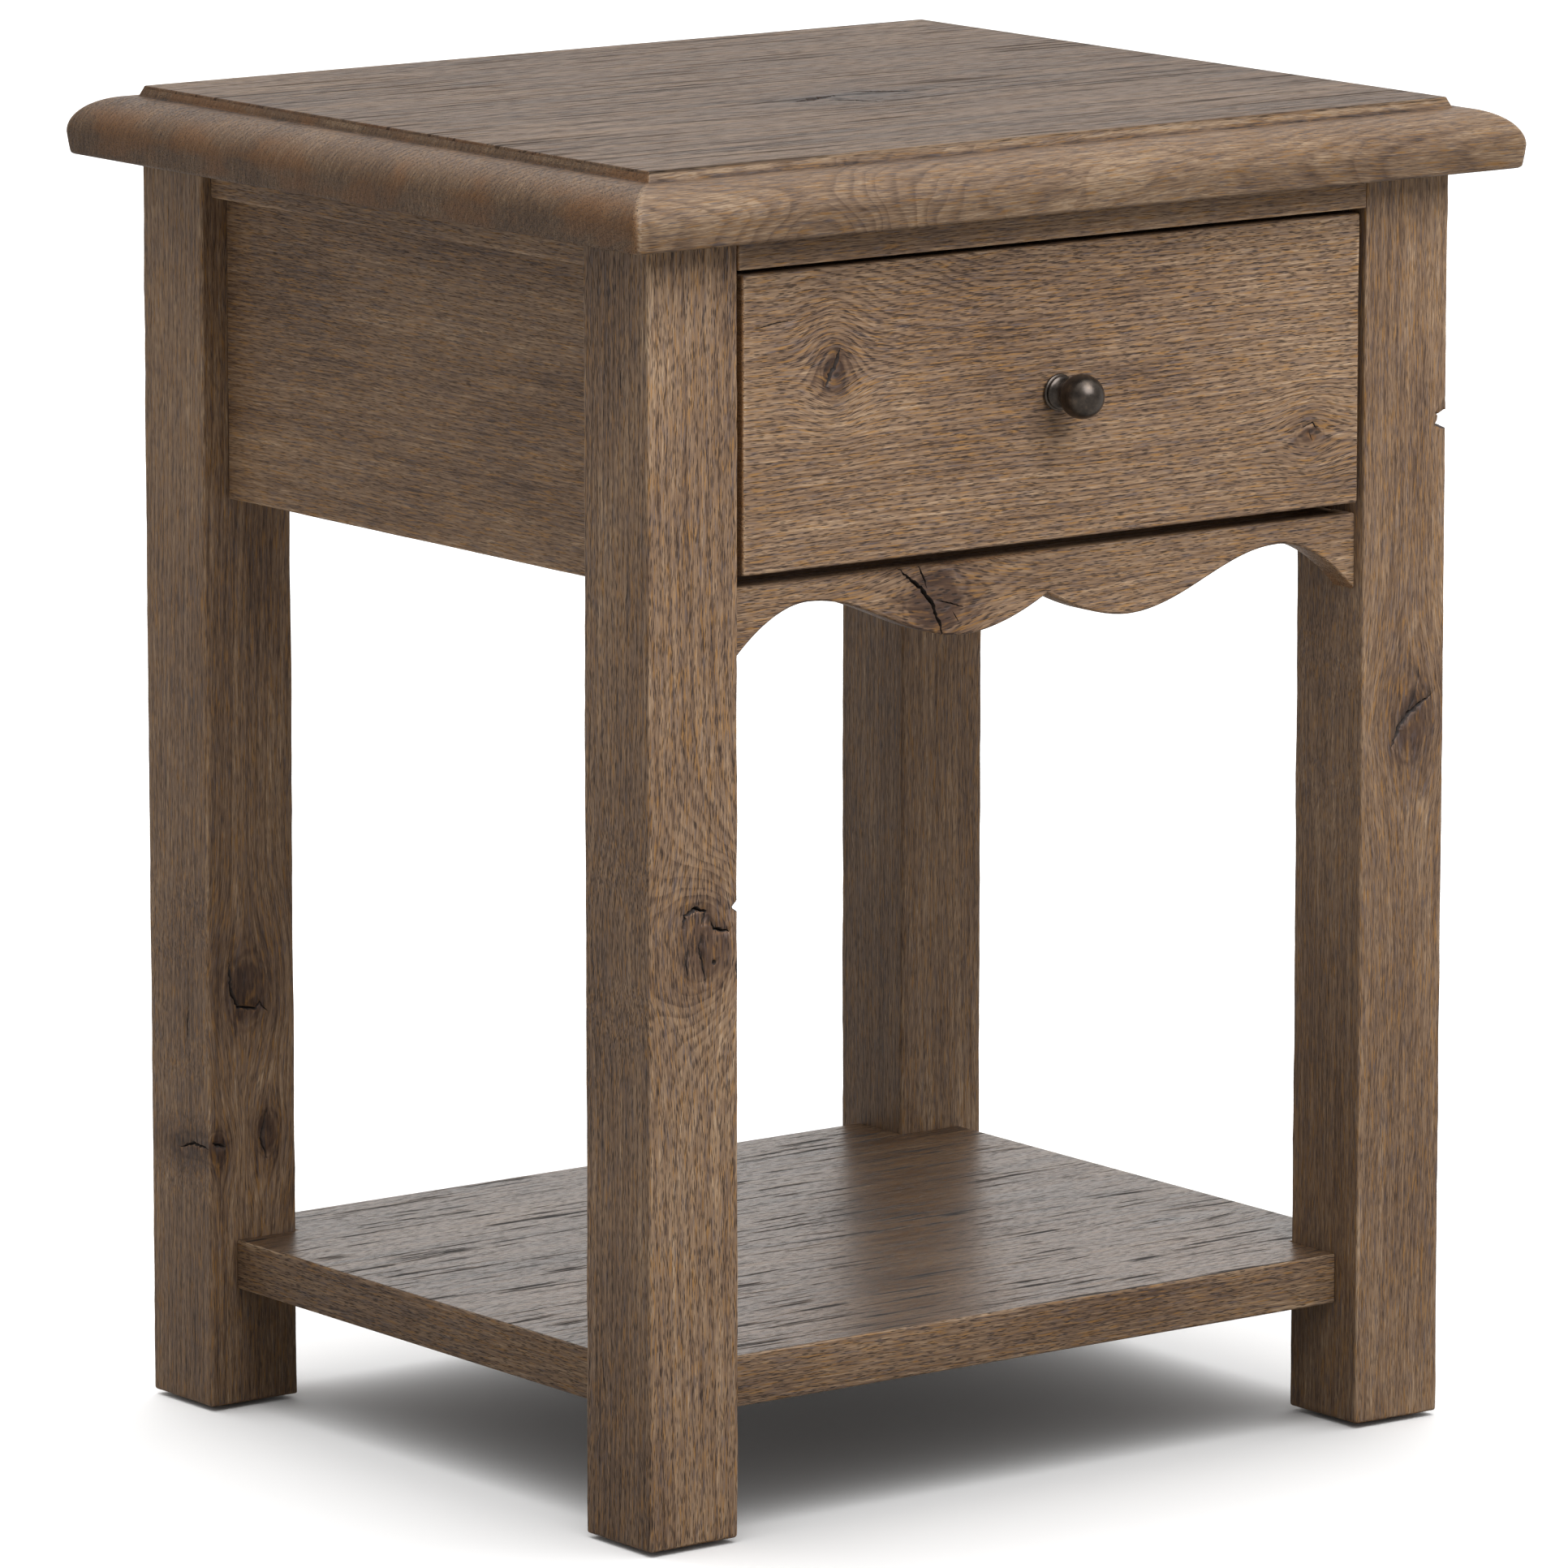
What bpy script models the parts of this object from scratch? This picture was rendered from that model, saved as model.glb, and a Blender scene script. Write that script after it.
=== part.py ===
"""Farmhouse side table with one inset drawer and a lower shelf.

Metres, +Z up. The front faces -Y and +X is to the right of someone facing it.
The origin is on the floor, under the middle of the table.
"""

import math

import bmesh
import bpy
from mathutils import Vector

# Driving dimensions
HEIGHT = 0.660
TOP_WIDTH = 0.540
TOP_DEPTH = 0.478
TOP_THICKNESS = 0.0343
LEG_SIZE = 0.052
LEGS_WIDTH = 0.485
LEGS_DEPTH = 0.422
GAP = 0.0003
EASE = 0.0015

# Moulded edge of the top: a steep step down from the flat field, then a thumbnail
EDGE_OUTSET = 0.0295
STEP_RUN = 0.002
STEP_DROP = 0.0052
NOSE_DROP = 0.0232
NOSE_TAPER = 0.0012
NOSE_BOTTOM_RADIUS = 0.002
THUMBNAIL_POINTS = 10

# Legs and glides
GLIDE_THICKNESS = 0.002
GLIDE_RADIUS = 0.010
NAIL_RADIUS = 0.0015
NAIL_LENGTH = 0.012

# Frame under the top, and the panels below it
RAIL_THICKNESS = 0.016
FRONT_RAIL_DEPTH = 0.045
SIDE_RAIL_DEPTH = 0.040
SIDE_RAIL_SETBACK = 0.0054
PANEL_BOTTOM = 0.4595
PANEL_SETBACK = 0.0145
SIDE_PANEL_THICKNESS = 0.018
BACK_PANEL_THICKNESS = 0.012

# Scalloped apron, and the flat rail behind it
APRON_TOP = 0.4586
APRON_SETBACK = 0.0075
APRON_THICKNESS = 0.016
CUSP_DROP = 0.021
LOBE_DROP = 0.036
COVE_DROP = 0.011
TIP_DROP = 0.0375
LOBE_CENTRE = 0.050
COVE_CENTRE = 0.143
SCALLOP_STEPS = 8
DRAWER_RAIL_DEPTH = 0.040
DRAWER_RAIL_THICKNESS = 0.0097

# Shelf, notched round the legs
SHELF_WIDTH = 0.454
SHELF_DEPTH = 0.389
SHELF_TOP = 0.0863
SHELF_THICKNESS = 0.025
DOWEL_RADIUS = 0.004
DOWEL_LENGTH = 0.030
DOWEL_INSET = 0.036

# Drawer
FRONT_WIDTH = 0.374
FRONT_THICKNESS = 0.020
FRONT_BOTTOM = 0.4646
FRONT_TOP = 0.607
FRONT_SETBACK = 0.001
BOX_LENGTH = 0.350
BOX_BOTTOM = 0.474
BOX_TOP = 0.584
BOARD = 0.012
BOTTOM_THICKNESS = 0.006
BOTTOM_RISE = 0.010
GROOVE_DEPTH = 0.006

# Knob
BALL_RADIUS = 0.0108
BALL_REACH = 0.0188
COLLAR_RADIUS = 0.0090
NECK_RADIUS = 0.0045

# Drawer slides: three nested steel channels on each side
SLIDE_THICKNESS = 0.0127
SHEET = 0.0012
SLIDE_LENGTH = 0.350
SLIDE_HEIGHT = 0.529
BATTEN_HEIGHT = 0.060

# Screws
SCREW_RADIUS = 0.0018
HEAD_RADIUS = 0.004
HEAD_HEIGHT = 0.0022
SLIDE_HEAD_HEIGHT = 0.0012
HOLE_CLEARANCE = 0.0005

# Worked out from the above
TOP_UNDERSIDE = HEIGHT - TOP_THICKNESS
RAIL_BOTTOM = TOP_UNDERSIDE - GAP - RAIL_THICKNESS
LEG_X = (LEGS_WIDTH - LEG_SIZE) / 2
LEG_Y = (LEGS_DEPTH - LEG_SIZE) / 2
INNER_X = LEGS_WIDTH / 2 - LEG_SIZE
INNER_Y = LEGS_DEPTH / 2 - LEG_SIZE
FRONT_Y = -LEGS_DEPTH / 2
DRAWER_FACE_Y = FRONT_Y + FRONT_SETBACK
BOX_Y = DRAWER_FACE_Y + FRONT_THICKNESS + GAP
SLIDE_FACE_X = INNER_X - GAP
BOX_X = SLIDE_FACE_X - SLIDE_THICKNESS - GAP
KNOB_HEIGHT = (FRONT_BOTTOM + FRONT_TOP) / 2

AXIS_TURNS = {"+Z": (0, 0, 0), "-Z": (math.pi, 0, 0), "+Y": (-math.pi / 2, 0, 0), "-Y": (math.pi / 2, 0, 0),
              "+X": (0, math.pi / 2, 0), "-X": (0, -math.pi / 2, 0)}


def clear_scene():
    for old in list(bpy.data.objects):
        bpy.data.objects.remove(old, do_unlink=True)


def make_material(name, color, roughness, metallic=0.0):
    material = bpy.data.materials.new(name)
    material.use_nodes = True
    shader = material.node_tree.nodes["Principled BSDF"]
    shader.inputs["Base Color"].default_value = (*color, 1.0)
    shader.inputs["Roughness"].default_value = roughness
    shader.inputs["Metallic"].default_value = metallic
    return material


def add_object(name, bm, material, location=(0, 0, 0), parent=None, turn="+Z"):
    """Makes the object from a bmesh drawn about its own origin, which goes to a world location."""
    bmesh.ops.recalc_face_normals(bm, faces=bm.faces)
    mesh = bpy.data.meshes.new(name)
    bm.to_mesh(mesh)
    bm.free()
    obj = bpy.data.objects.new(name, mesh)
    bpy.context.scene.collection.objects.link(obj)
    if material:
        mesh.materials.append(material)
    obj.location = Vector(location)
    obj.rotation_euler = AXIS_TURNS[turn]
    if parent:
        obj.parent = parent
        obj.location -= parent.location
    return obj


def add_pivot(name, location):
    pivot = bpy.data.objects.new(name, None)
    pivot.location = location
    bpy.context.scene.collection.objects.link(pivot)
    return pivot


def ease_edges(obj, width=EASE, segments=1):
    bevel = obj.modifiers.new("eased_edges", "BEVEL")
    bevel.width = width
    bevel.segments = segments
    bevel.limit_method = "ANGLE"
    bevel.angle_limit = math.radians(50)


def add_board(name, low, high, material, parent=None, ease=EASE):
    """A board between two corners, low and high."""
    low, high = Vector(low), Vector(high)
    bm = bmesh.new()
    bmesh.ops.create_cube(bm, size=1.0)
    bmesh.ops.scale(bm, vec=high - low, verts=bm.verts)
    obj = add_object(name, bm, material, (low + high) / 2, parent)
    if ease:
        ease_edges(obj, ease)
    return obj


def add_prism(name, outline, axis, start, end, material, parent=None):
    """Extrudes an outline along an axis; its points hold the other two coordinates, in X, Y, Z order."""
    across = [i for i in range(3) if i != "XYZ".index(axis)]
    along = "XYZ".index(axis)
    bm = bmesh.new()
    corners = []
    for a, b in outline:
        corner = Vector((0, 0, 0))
        corner[across[0]] = a
        corner[across[1]] = b
        corner[along] = start
        corners.append(bm.verts.new(corner))
    face = bm.faces.new(corners)
    shift = Vector((0, 0, 0))
    shift[along] = end - start
    grown = bmesh.ops.extrude_face_region(bm, geom=[face])
    bmesh.ops.translate(bm, vec=shift, verts=[v for v in grown["geom"] if isinstance(v, bmesh.types.BMVert)])
    return add_object(name, bm, material, parent=parent)


def turned_mesh(profile, segments):
    """Turns (radius, height) points about Z; a point of no radius closes an end."""
    bm = bmesh.new()
    rings = []
    for radius, height in profile:
        if radius == 0:
            rings.append([bm.verts.new((0, 0, height))])
            continue
        angles = [math.tau * i / segments for i in range(segments)]
        rings.append([bm.verts.new((radius * math.cos(a), radius * math.sin(a), height)) for a in angles])
    for lower, upper in zip(rings, rings[1:]):
        for i in range(segments):
            j = (i + 1) % segments
            if len(lower) == 1:
                bm.faces.new((lower[0], upper[i], upper[j]))
            elif len(upper) == 1:
                bm.faces.new((lower[i], lower[j], upper[0]))
            else:
                bm.faces.new((lower[i], lower[j], upper[j], upper[i]))
    return bm


def add_turned(name, profile, material, location, turn="+Z", segments=16, parent=None):
    obj = add_object(name, turned_mesh(profile, segments), material, location, parent, turn)
    obj.data.shade_smooth()
    obj.data.set_sharp_from_angle(angle=math.radians(40))
    return obj


def drill(targets, name, mouth, turn, radius, depth, back=0.0, segments=12):
    """Cuts one round hole, from back behind its mouth to depth along the turn's direction."""
    profile = [(0, -back), (radius, -back), (radius, depth), (0, depth)]
    cutter = add_object(name, turned_mesh(profile, segments), None, mouth, None, turn)
    cutter.hide_render = True
    cutter.display_type = "WIRE"
    for target in targets:
        boolean = target.modifiers.new(name, "BOOLEAN")
        boolean.operation = "DIFFERENCE"
        boolean.solver = "EXACT"
        boolean.object = cutter


def add_screw(name, seat, turn, length, material, head_height=HEAD_HEIGHT, parent=None):
    """A pan-head screw: its seat is under the head, and its shank runs along the turn's direction."""
    profile = [
        (0, -head_height),
        (HEAD_RADIUS * 0.7, -head_height),
        (HEAD_RADIUS, -head_height * 0.45),
        (HEAD_RADIUS, 0),
        (SCREW_RADIUS, 0),
        (SCREW_RADIUS, length - 0.003),
        (0, length),
    ]
    return add_turned(name, profile, material, seat, turn, 12, parent)


def edge_profile():
    """Outset and height of the top's moulded edge, from its flat field down to its underside."""
    points = [(0.0, HEIGHT)]
    reach = EDGE_OUTSET - STEP_RUN
    fall = NOSE_DROP - STEP_DROP
    for i in range(THUMBNAIL_POINTS + 1):
        angle = math.pi / 2 * i / THUMBNAIL_POINTS
        outset = STEP_RUN + reach * math.sin(angle)
        points.append((outset, HEIGHT - NOSE_DROP + fall * math.cos(angle)))
    lower = EDGE_OUTSET - NOSE_TAPER
    points.append((lower, TOP_UNDERSIDE + NOSE_BOTTOM_RADIUS))
    points.append((lower - NOSE_BOTTOM_RADIUS * 0.3, TOP_UNDERSIDE + NOSE_BOTTOM_RADIUS * 0.3))
    points.append((lower - NOSE_BOTTOM_RADIUS, TOP_UNDERSIDE))
    return points


def add_tabletop(material):
    """One mitred ring of vertices for each point of the edge profile, closed by the field and the underside."""
    field_x = TOP_WIDTH / 2 - EDGE_OUTSET
    field_y = TOP_DEPTH / 2 - EDGE_OUTSET
    bm = bmesh.new()
    rings = []
    for outset, height in edge_profile():
        x, y = field_x + outset, field_y + outset
        rings.append([bm.verts.new(p) for p in ((-x, -y, height), (x, -y, height), (x, y, height), (-x, y, height))])
    bm.faces.new(rings[0])
    bm.faces.new(rings[-1])
    for upper, lower in zip(rings, rings[1:]):
        for i in range(4):
            j = (i + 1) % 4
            bm.faces.new((upper[i], upper[j], lower[j], lower[i]))
    return add_object("tabletop", bm, material)


def scallop():
    """Lower edge of the apron's right half, from the cusp at the middle to the tip at the leg."""
    half = INNER_X - GAP
    points = []
    for i in range(SCALLOP_STEPS):
        u = i / SCALLOP_STEPS
        rise = (LOBE_DROP - CUSP_DROP) * (1 - u) ** 1.8
        points.append((u * LOBE_CENTRE, APRON_TOP - LOBE_DROP + rise))
    for i in range(SCALLOP_STEPS):
        u = i / SCALLOP_STEPS
        middle = (LOBE_DROP + COVE_DROP) / 2
        swing = (LOBE_DROP - COVE_DROP) / 2
        x = LOBE_CENTRE + u * (COVE_CENTRE - LOBE_CENTRE)
        points.append((x, APRON_TOP - middle - swing * math.cos(math.pi * u)))
    for i in range(SCALLOP_STEPS + 1):
        u = i / SCALLOP_STEPS
        x = COVE_CENTRE + u * (half - COVE_CENTRE)
        points.append((x, APRON_TOP - COVE_DROP - (TIP_DROP - COVE_DROP) * u ** 1.9))
    return points


def add_apron(material):
    right = scallop()
    left = [(-x, z) for x, z in reversed(right[1:])]
    half = INNER_X - GAP
    outline = left + right + [(half, APRON_TOP), (-half, APRON_TOP)]
    front = FRONT_Y + APRON_SETBACK
    apron = add_prism("apron", outline, "Y", front, front + APRON_THICKNESS, material)
    ease_edges(apron, 0.0008)
    back = front + APRON_THICKNESS + GAP
    add_board("drawer_rail", (-half, back, APRON_TOP - DRAWER_RAIL_THICKNESS),
              (half, back + DRAWER_RAIL_DEPTH, APRON_TOP), material, ease=0.001)


def add_legs(wood, plastic):
    legs = {}
    for end, y in (("front", -LEG_Y), ("rear", LEG_Y)):
        for side, x in (("left", -LEG_X), ("right", LEG_X)):
            half = LEG_SIZE / 2
            bottom = GLIDE_THICKNESS + GAP
            leg = add_board(f"leg_{end}_{side}", (x - half, y - half, bottom),
                            (x + half, y + half, TOP_UNDERSIDE - GAP), wood)
            leg.modifiers["eased_edges"].segments = 2
            glide = [(0, 0), (GLIDE_RADIUS - 0.001, 0), (GLIDE_RADIUS, 0.0008), (GLIDE_RADIUS, GLIDE_THICKNESS),
                     (NAIL_RADIUS, GLIDE_THICKNESS), (NAIL_RADIUS, GLIDE_THICKNESS + NAIL_LENGTH - 0.002),
                     (0, GLIDE_THICKNESS + NAIL_LENGTH)]
            add_turned(f"glide_{end}_{side}", glide, plastic, (x, y, 0))
            drill([leg], f"cut_nail_{end}_{side}", (x, y, bottom), "+Z", NAIL_RADIUS + HOLE_CLEARANCE,
                  NAIL_LENGTH + 0.001, back=0.001)
            legs[end, side] = leg
    return legs


def add_shelf(wood, legs):
    """A board with a square notch at each corner, dowelled to the legs from inside the notches."""
    x, y = SHELF_WIDTH / 2, SHELF_DEPTH / 2
    notch_x, notch_y = INNER_X - GAP, INNER_Y - GAP
    quarter = [(x, notch_y), (notch_x, notch_y), (notch_x, y)]
    outline = quarter + [(-a, b) for a, b in reversed(quarter)]
    outline += [(-a, -b) for a, b in quarter] + [(a, -b) for a, b in reversed(quarter)]
    shelf = add_prism("shelf", outline, "Z", SHELF_TOP - SHELF_THICKNESS, SHELF_TOP, wood)
    ease_edges(shelf, 0.001)
    middle = SHELF_TOP - SHELF_THICKNESS / 2
    for end, y_sign in (("front", -1), ("rear", 1)):
        for side, x_sign in (("left", -1), ("right", 1)):
            turn = "+X" if x_sign > 0 else "-X"
            name = f"shelf_dowel_{end}_{side}"
            dowel_y = y_sign * (LEGS_DEPTH / 2 - DOWEL_INSET)
            start = (x_sign * (INNER_X - DOWEL_LENGTH / 2), dowel_y, middle)
            chamfer = 0.001
            profile = [(0, 0), (DOWEL_RADIUS - chamfer, 0), (DOWEL_RADIUS, chamfer),
                       (DOWEL_RADIUS, DOWEL_LENGTH - chamfer), (DOWEL_RADIUS - chamfer, DOWEL_LENGTH),
                       (0, DOWEL_LENGTH)]
            add_turned(name, profile, wood, start, turn)
            drill([shelf, legs[end, side]], f"cut_{name}", start, turn, DOWEL_RADIUS + HOLE_CLEARANCE,
                  DOWEL_LENGTH + 0.001, back=0.001)


def add_top_frame(wood, steel, tabletop):
    """Four flat rails under the top; the front and back ones carry the screws that hold the top."""
    low, high = RAIL_BOTTOM, TOP_UNDERSIDE - GAP
    x, y = INNER_X - GAP, INNER_Y - GAP
    front = add_board("front_rail", (-x, FRONT_Y, low), (x, FRONT_Y + FRONT_RAIL_DEPTH, high), wood, ease=0.0008)
    back_y = LEGS_DEPTH / 2 - SIDE_RAIL_SETBACK
    back = add_board("back_rail", (-x, back_y - SIDE_RAIL_DEPTH, low), (x, back_y, high), wood, ease=0.0008)
    outer = LEGS_WIDTH / 2 - SIDE_RAIL_SETBACK
    for side, sign in (("left", -1), ("right", 1)):
        edges = sorted((sign * outer, sign * (outer - SIDE_RAIL_DEPTH)))
        add_board(f"side_rail_{side}", (edges[0], -y, low), (edges[1], y, high), wood, ease=0.0008)
    seats = {"front": (front, FRONT_Y + FRONT_RAIL_DEPTH - 0.012), "back": (back, back_y - SIDE_RAIL_DEPTH + 0.012)}
    for end, (rail, screw_y) in seats.items():
        for side, sign in (("left", -1), ("right", 1)):
            seat = (sign * 0.12, screw_y, low - GAP)
            name = f"top_screw_{end}_{side}"
            add_screw(name, seat, "+Z", 0.032, steel)
            drill([rail, tabletop], f"cut_{name}", seat, "+Z", SCREW_RADIUS + HOLE_CLEARANCE, 0.033, back=0.001)


def add_panels(wood):
    low, high = PANEL_BOTTOM, RAIL_BOTTOM - GAP
    x, y = INNER_X - GAP, INNER_Y - GAP
    outer = LEGS_WIDTH / 2 - PANEL_SETBACK
    for side, sign in (("left", -1), ("right", 1)):
        edges = sorted((sign * outer, sign * (outer - SIDE_PANEL_THICKNESS)))
        add_board(f"side_panel_{side}", (edges[0], -y, low), (edges[1], y, high), wood, ease=0.0008)
    back_y = LEGS_DEPTH / 2 - PANEL_SETBACK
    add_board("back_panel", (-x, back_y - BACK_PANEL_THICKNESS, low), (x, back_y, high), wood, ease=0.0008)


def add_drawer_box(wood, pivot):
    """Four boards grooved for a loose bottom, which slides in under the back."""
    inner = BOX_X - BOARD
    floor = BOX_BOTTOM + BOTTOM_RISE
    groove_low, groove_high = floor - GAP, floor + BOTTOM_THICKNESS + GAP
    end_y = BOX_Y + BOX_LENGTH
    sides = {}
    for side, sign in (("left", -1), ("right", 1)):
        section = [(BOX_X, BOX_BOTTOM), (BOX_X, BOX_TOP), (inner, BOX_TOP), (inner, groove_high),
                   (inner + GROOVE_DEPTH, groove_high), (inner + GROOVE_DEPTH, groove_low),
                   (inner, groove_low), (inner, BOX_BOTTOM)]
        outline = [(sign * x, z) for x, z in section]
        sides[side] = add_prism(f"drawer_side_{side}", outline, "Y", BOX_Y, end_y, wood, pivot)
    face = BOX_Y + BOARD
    section = [(BOX_Y, BOX_BOTTOM), (BOX_Y, BOX_TOP), (face, BOX_TOP), (face, groove_high),
               (face - GROOVE_DEPTH, groove_high), (face - GROOVE_DEPTH, groove_low),
               (face, groove_low), (face, BOX_BOTTOM)]
    reach = inner - GAP
    box_front = add_prism("drawer_box_front", section, "X", -reach, reach, wood, pivot)
    add_board("drawer_back", (-reach, end_y - BOARD, groove_high), (reach, end_y, BOX_TOP), wood, pivot, ease=0.0005)
    edge = inner + GROOVE_DEPTH - GAP
    add_board("drawer_bottom", (-edge, face - GROOVE_DEPTH + GAP, floor), (edge, end_y, floor + BOTTOM_THICKNESS),
              wood, pivot, ease=0)
    return sides, box_front


def add_drawer_front(wood, steel, pivot, box_front):
    half = FRONT_WIDTH / 2
    front = add_board("drawer_front", (-half, DRAWER_FACE_Y, FRONT_BOTTOM),
                      (half, DRAWER_FACE_Y + FRONT_THICKNESS, FRONT_TOP), wood, pivot, ease=0.001)
    for side, sign in (("left", -1), ("right", 1)):
        name = f"front_screw_{side}"
        seat = (sign * 0.10, BOX_Y + BOARD + GAP, KNOB_HEIGHT)
        add_screw(name, seat, "-Y", 0.026, steel, parent=pivot)
        drill([box_front, front], f"cut_{name}", seat, "-Y", SCREW_RADIUS + HOLE_CLEARANCE, 0.027, back=0.001)
    return front


def knob_profile():
    """A base collar with a raised ring, a waisted neck and a ball, bored at the back for its screw."""
    bore = SCREW_RADIUS + HOLE_CLEARANCE
    bore_depth = 0.014
    points = [(0, bore_depth), (bore, bore_depth), (bore, 0), (COLLAR_RADIUS, 0), (COLLAR_RADIUS, 0.0016),
              (COLLAR_RADIUS - 0.0008, 0.0024), (COLLAR_RADIUS - 0.0016, 0.0024), (COLLAR_RADIUS - 0.0022, 0.0036),
              (NECK_RADIUS + 0.0006, 0.0046), (NECK_RADIUS, 0.0075)]
    start = math.asin(NECK_RADIUS / BALL_RADIUS)
    steps = 10
    for i in range(steps + 1):
        angle = start + (math.pi - start) * i / steps
        radius = BALL_RADIUS * math.sin(angle) if i < steps else 0
        points.append((radius, BALL_REACH - BALL_RADIUS * math.cos(angle)))
    return points


def add_knob(bronze, steel, pivot, box_front, drawer_front):
    add_turned("knob", knob_profile(), bronze, (0, DRAWER_FACE_Y - GAP, KNOB_HEIGHT), "-Y", 24, pivot)
    seat_y = BOX_Y + BOARD + GAP
    length = seat_y - DRAWER_FACE_Y + 0.010
    add_screw("knob_screw", (0, seat_y, KNOB_HEIGHT), "-Y", length, steel, parent=pivot)
    drill([box_front, drawer_front], "cut_knob_screw", (0, seat_y, KNOB_HEIGHT), "-Y",
          SCREW_RADIUS + HOLE_CLEARANCE, length, back=0.001)


def channel(near, far, half_height, lip=0.0):
    """Section of a steel channel: its web is at near, and its two flanges reach to far."""
    step = SHEET if far > near else -SHEET
    upper = [(near, half_height), (far, half_height)]
    if lip:
        upper += [(far, half_height - lip), (far - step, half_height - lip)]
        upper += [(far - step, half_height - SHEET)]
    else:
        upper += [(far, half_height - SHEET)]
    upper += [(near + step, half_height - SHEET)]
    return upper + [(depth, -height) for depth, height in reversed(upper)]


def add_slide(side, sign, wood, steel, leg, drawer_side, drawer, middle):
    """A full-extension slide: channels on the case, between, and on the drawer, nested in each other."""
    out = "+X" if sign > 0 else "-X"
    back = "-X" if sign > 0 else "+X"
    start, end = BOX_Y, BOX_Y + SLIDE_LENGTH

    def member(name, section, first, last, parent):
        outline = [(sign * (SLIDE_FACE_X - depth), SLIDE_HEIGHT + height) for depth, height in section]
        return add_prism(name, outline, "Y", first, last, steel, parent)

    case_member = member(f"slide_case_member_{side}", channel(0.0, 0.0112, 0.0225, 0.0026), start, end, None)
    member(f"slide_middle_member_{side}", channel(0.003, 0.0106, 0.018), start + 0.001, end - 0.001, middle)
    drawer_member = member(f"slide_drawer_member_{side}", channel(SLIDE_THICKNESS, 0.006, 0.0135), start, end, drawer)

    outer = LEGS_WIDTH / 2 - PANEL_SETBACK - SIDE_PANEL_THICKNESS - GAP
    edges = sorted((sign * outer, sign * INNER_X))
    low = SLIDE_HEIGHT - BATTEN_HEIGHT / 2
    reach = INNER_Y - GAP
    batten = add_board(f"slide_batten_{side}", (edges[0], -reach, low), (edges[1], reach, low + BATTEN_HEIGHT),
                       wood, ease=0.0008)
    web_x = SLIDE_FACE_X - SHEET - GAP
    hole = SCREW_RADIUS + HOLE_CLEARANCE
    for place, y, held in (("front", -LEG_Y + 0.012, leg), ("rear", 0.110, batten)):
        name = f"case_slide_screw_{place}_{side}"
        seat = (sign * web_x, y, SLIDE_HEIGHT)
        add_screw(name, seat, out, 0.014, steel, SLIDE_HEAD_HEIGHT)
        drill([case_member, held], f"cut_{name}", seat, out, hole, 0.015, back=0.001)
    web_x = SLIDE_FACE_X - SLIDE_THICKNESS + SHEET + GAP
    for place, y in (("front", -0.150), ("rear", 0.110)):
        name = f"drawer_slide_screw_{place}_{side}"
        seat = (sign * web_x, y, SLIDE_HEIGHT)
        add_screw(name, seat, back, 0.010, steel, SLIDE_HEAD_HEIGHT, drawer)
        drill([drawer_member, drawer_side], f"cut_{name}", seat, back, hole, 0.011, back=0.001)


def main():
    clear_scene()
    oak = make_material("weathered_oak", (0.25, 0.165, 0.105), 0.62)
    top_oak = make_material("weathered_oak_top", (0.24, 0.185, 0.145), 0.55)
    box_oak = make_material("drawer_box_oak", (0.42, 0.29, 0.17), 0.6)
    bronze = make_material("dark_bronze", (0.035, 0.026, 0.020), 0.38, 0.9)
    steel = make_material("zinc_plated_steel", (0.62, 0.62, 0.60), 0.35, 1.0)
    plastic = make_material("dark_plastic", (0.03, 0.028, 0.026), 0.6)

    tabletop = add_tabletop(top_oak)
    legs = add_legs(oak, plastic)
    add_shelf(oak, legs)
    add_top_frame(oak, steel, tabletop)
    add_panels(oak)
    add_apron(oak)

    drawer = add_pivot("drawer_pivot", (0, DRAWER_FACE_Y, KNOB_HEIGHT))
    sides, box_front = add_drawer_box(box_oak, drawer)
    drawer_front = add_drawer_front(oak, steel, drawer, box_front)
    add_knob(bronze, steel, drawer, box_front, drawer_front)
    for side, sign in (("left", -1), ("right", 1)):
        middle = add_pivot(f"slide_middle_pivot_{side}", (sign * SLIDE_FACE_X, BOX_Y, SLIDE_HEIGHT))
        add_slide(side, sign, box_oak, steel, legs["front", side], sides[side], drawer, middle)


main()
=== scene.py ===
"""Looks of the farmhouse side table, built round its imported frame.

Metres, +Z up, front towards -Y. Every piece keeps its object at the origin, so Object
coordinates in the materials are places on the table.
"""

import math
import random

import bmesh
import bpy
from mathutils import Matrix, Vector, noise


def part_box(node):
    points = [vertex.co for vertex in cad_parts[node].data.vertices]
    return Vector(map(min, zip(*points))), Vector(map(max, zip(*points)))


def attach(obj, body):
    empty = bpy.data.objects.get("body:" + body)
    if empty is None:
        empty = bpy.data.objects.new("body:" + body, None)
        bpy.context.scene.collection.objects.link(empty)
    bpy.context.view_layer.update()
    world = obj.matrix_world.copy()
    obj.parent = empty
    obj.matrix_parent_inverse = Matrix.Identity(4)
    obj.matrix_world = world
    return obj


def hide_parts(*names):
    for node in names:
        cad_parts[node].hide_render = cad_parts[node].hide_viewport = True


# Camera
VIEW_AZIMUTH = -36.90
VIEW_ELEVATION = 10.323
VIEW_DISTANCE = 5.6006
VIEW_AIM = (-0.0034, 0.0026, 0.3151)
LENS = 259.70

# Light all round, and soft lights as (azimuth, elevation, strength, sharpness)
SKY_COLOUR = (1.0, 0.995, 0.985, 1.0)
AMBIENT = 0.42
SOFT_LIGHTS = [(143.0, 12.0, 1.0, 2.0), (0.0, 90.0, 3.95, 6.0)]
# What the floor sends back up at the table, as a share of how bright it looks
FLOOR_BOUNCE = 0.55
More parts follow.
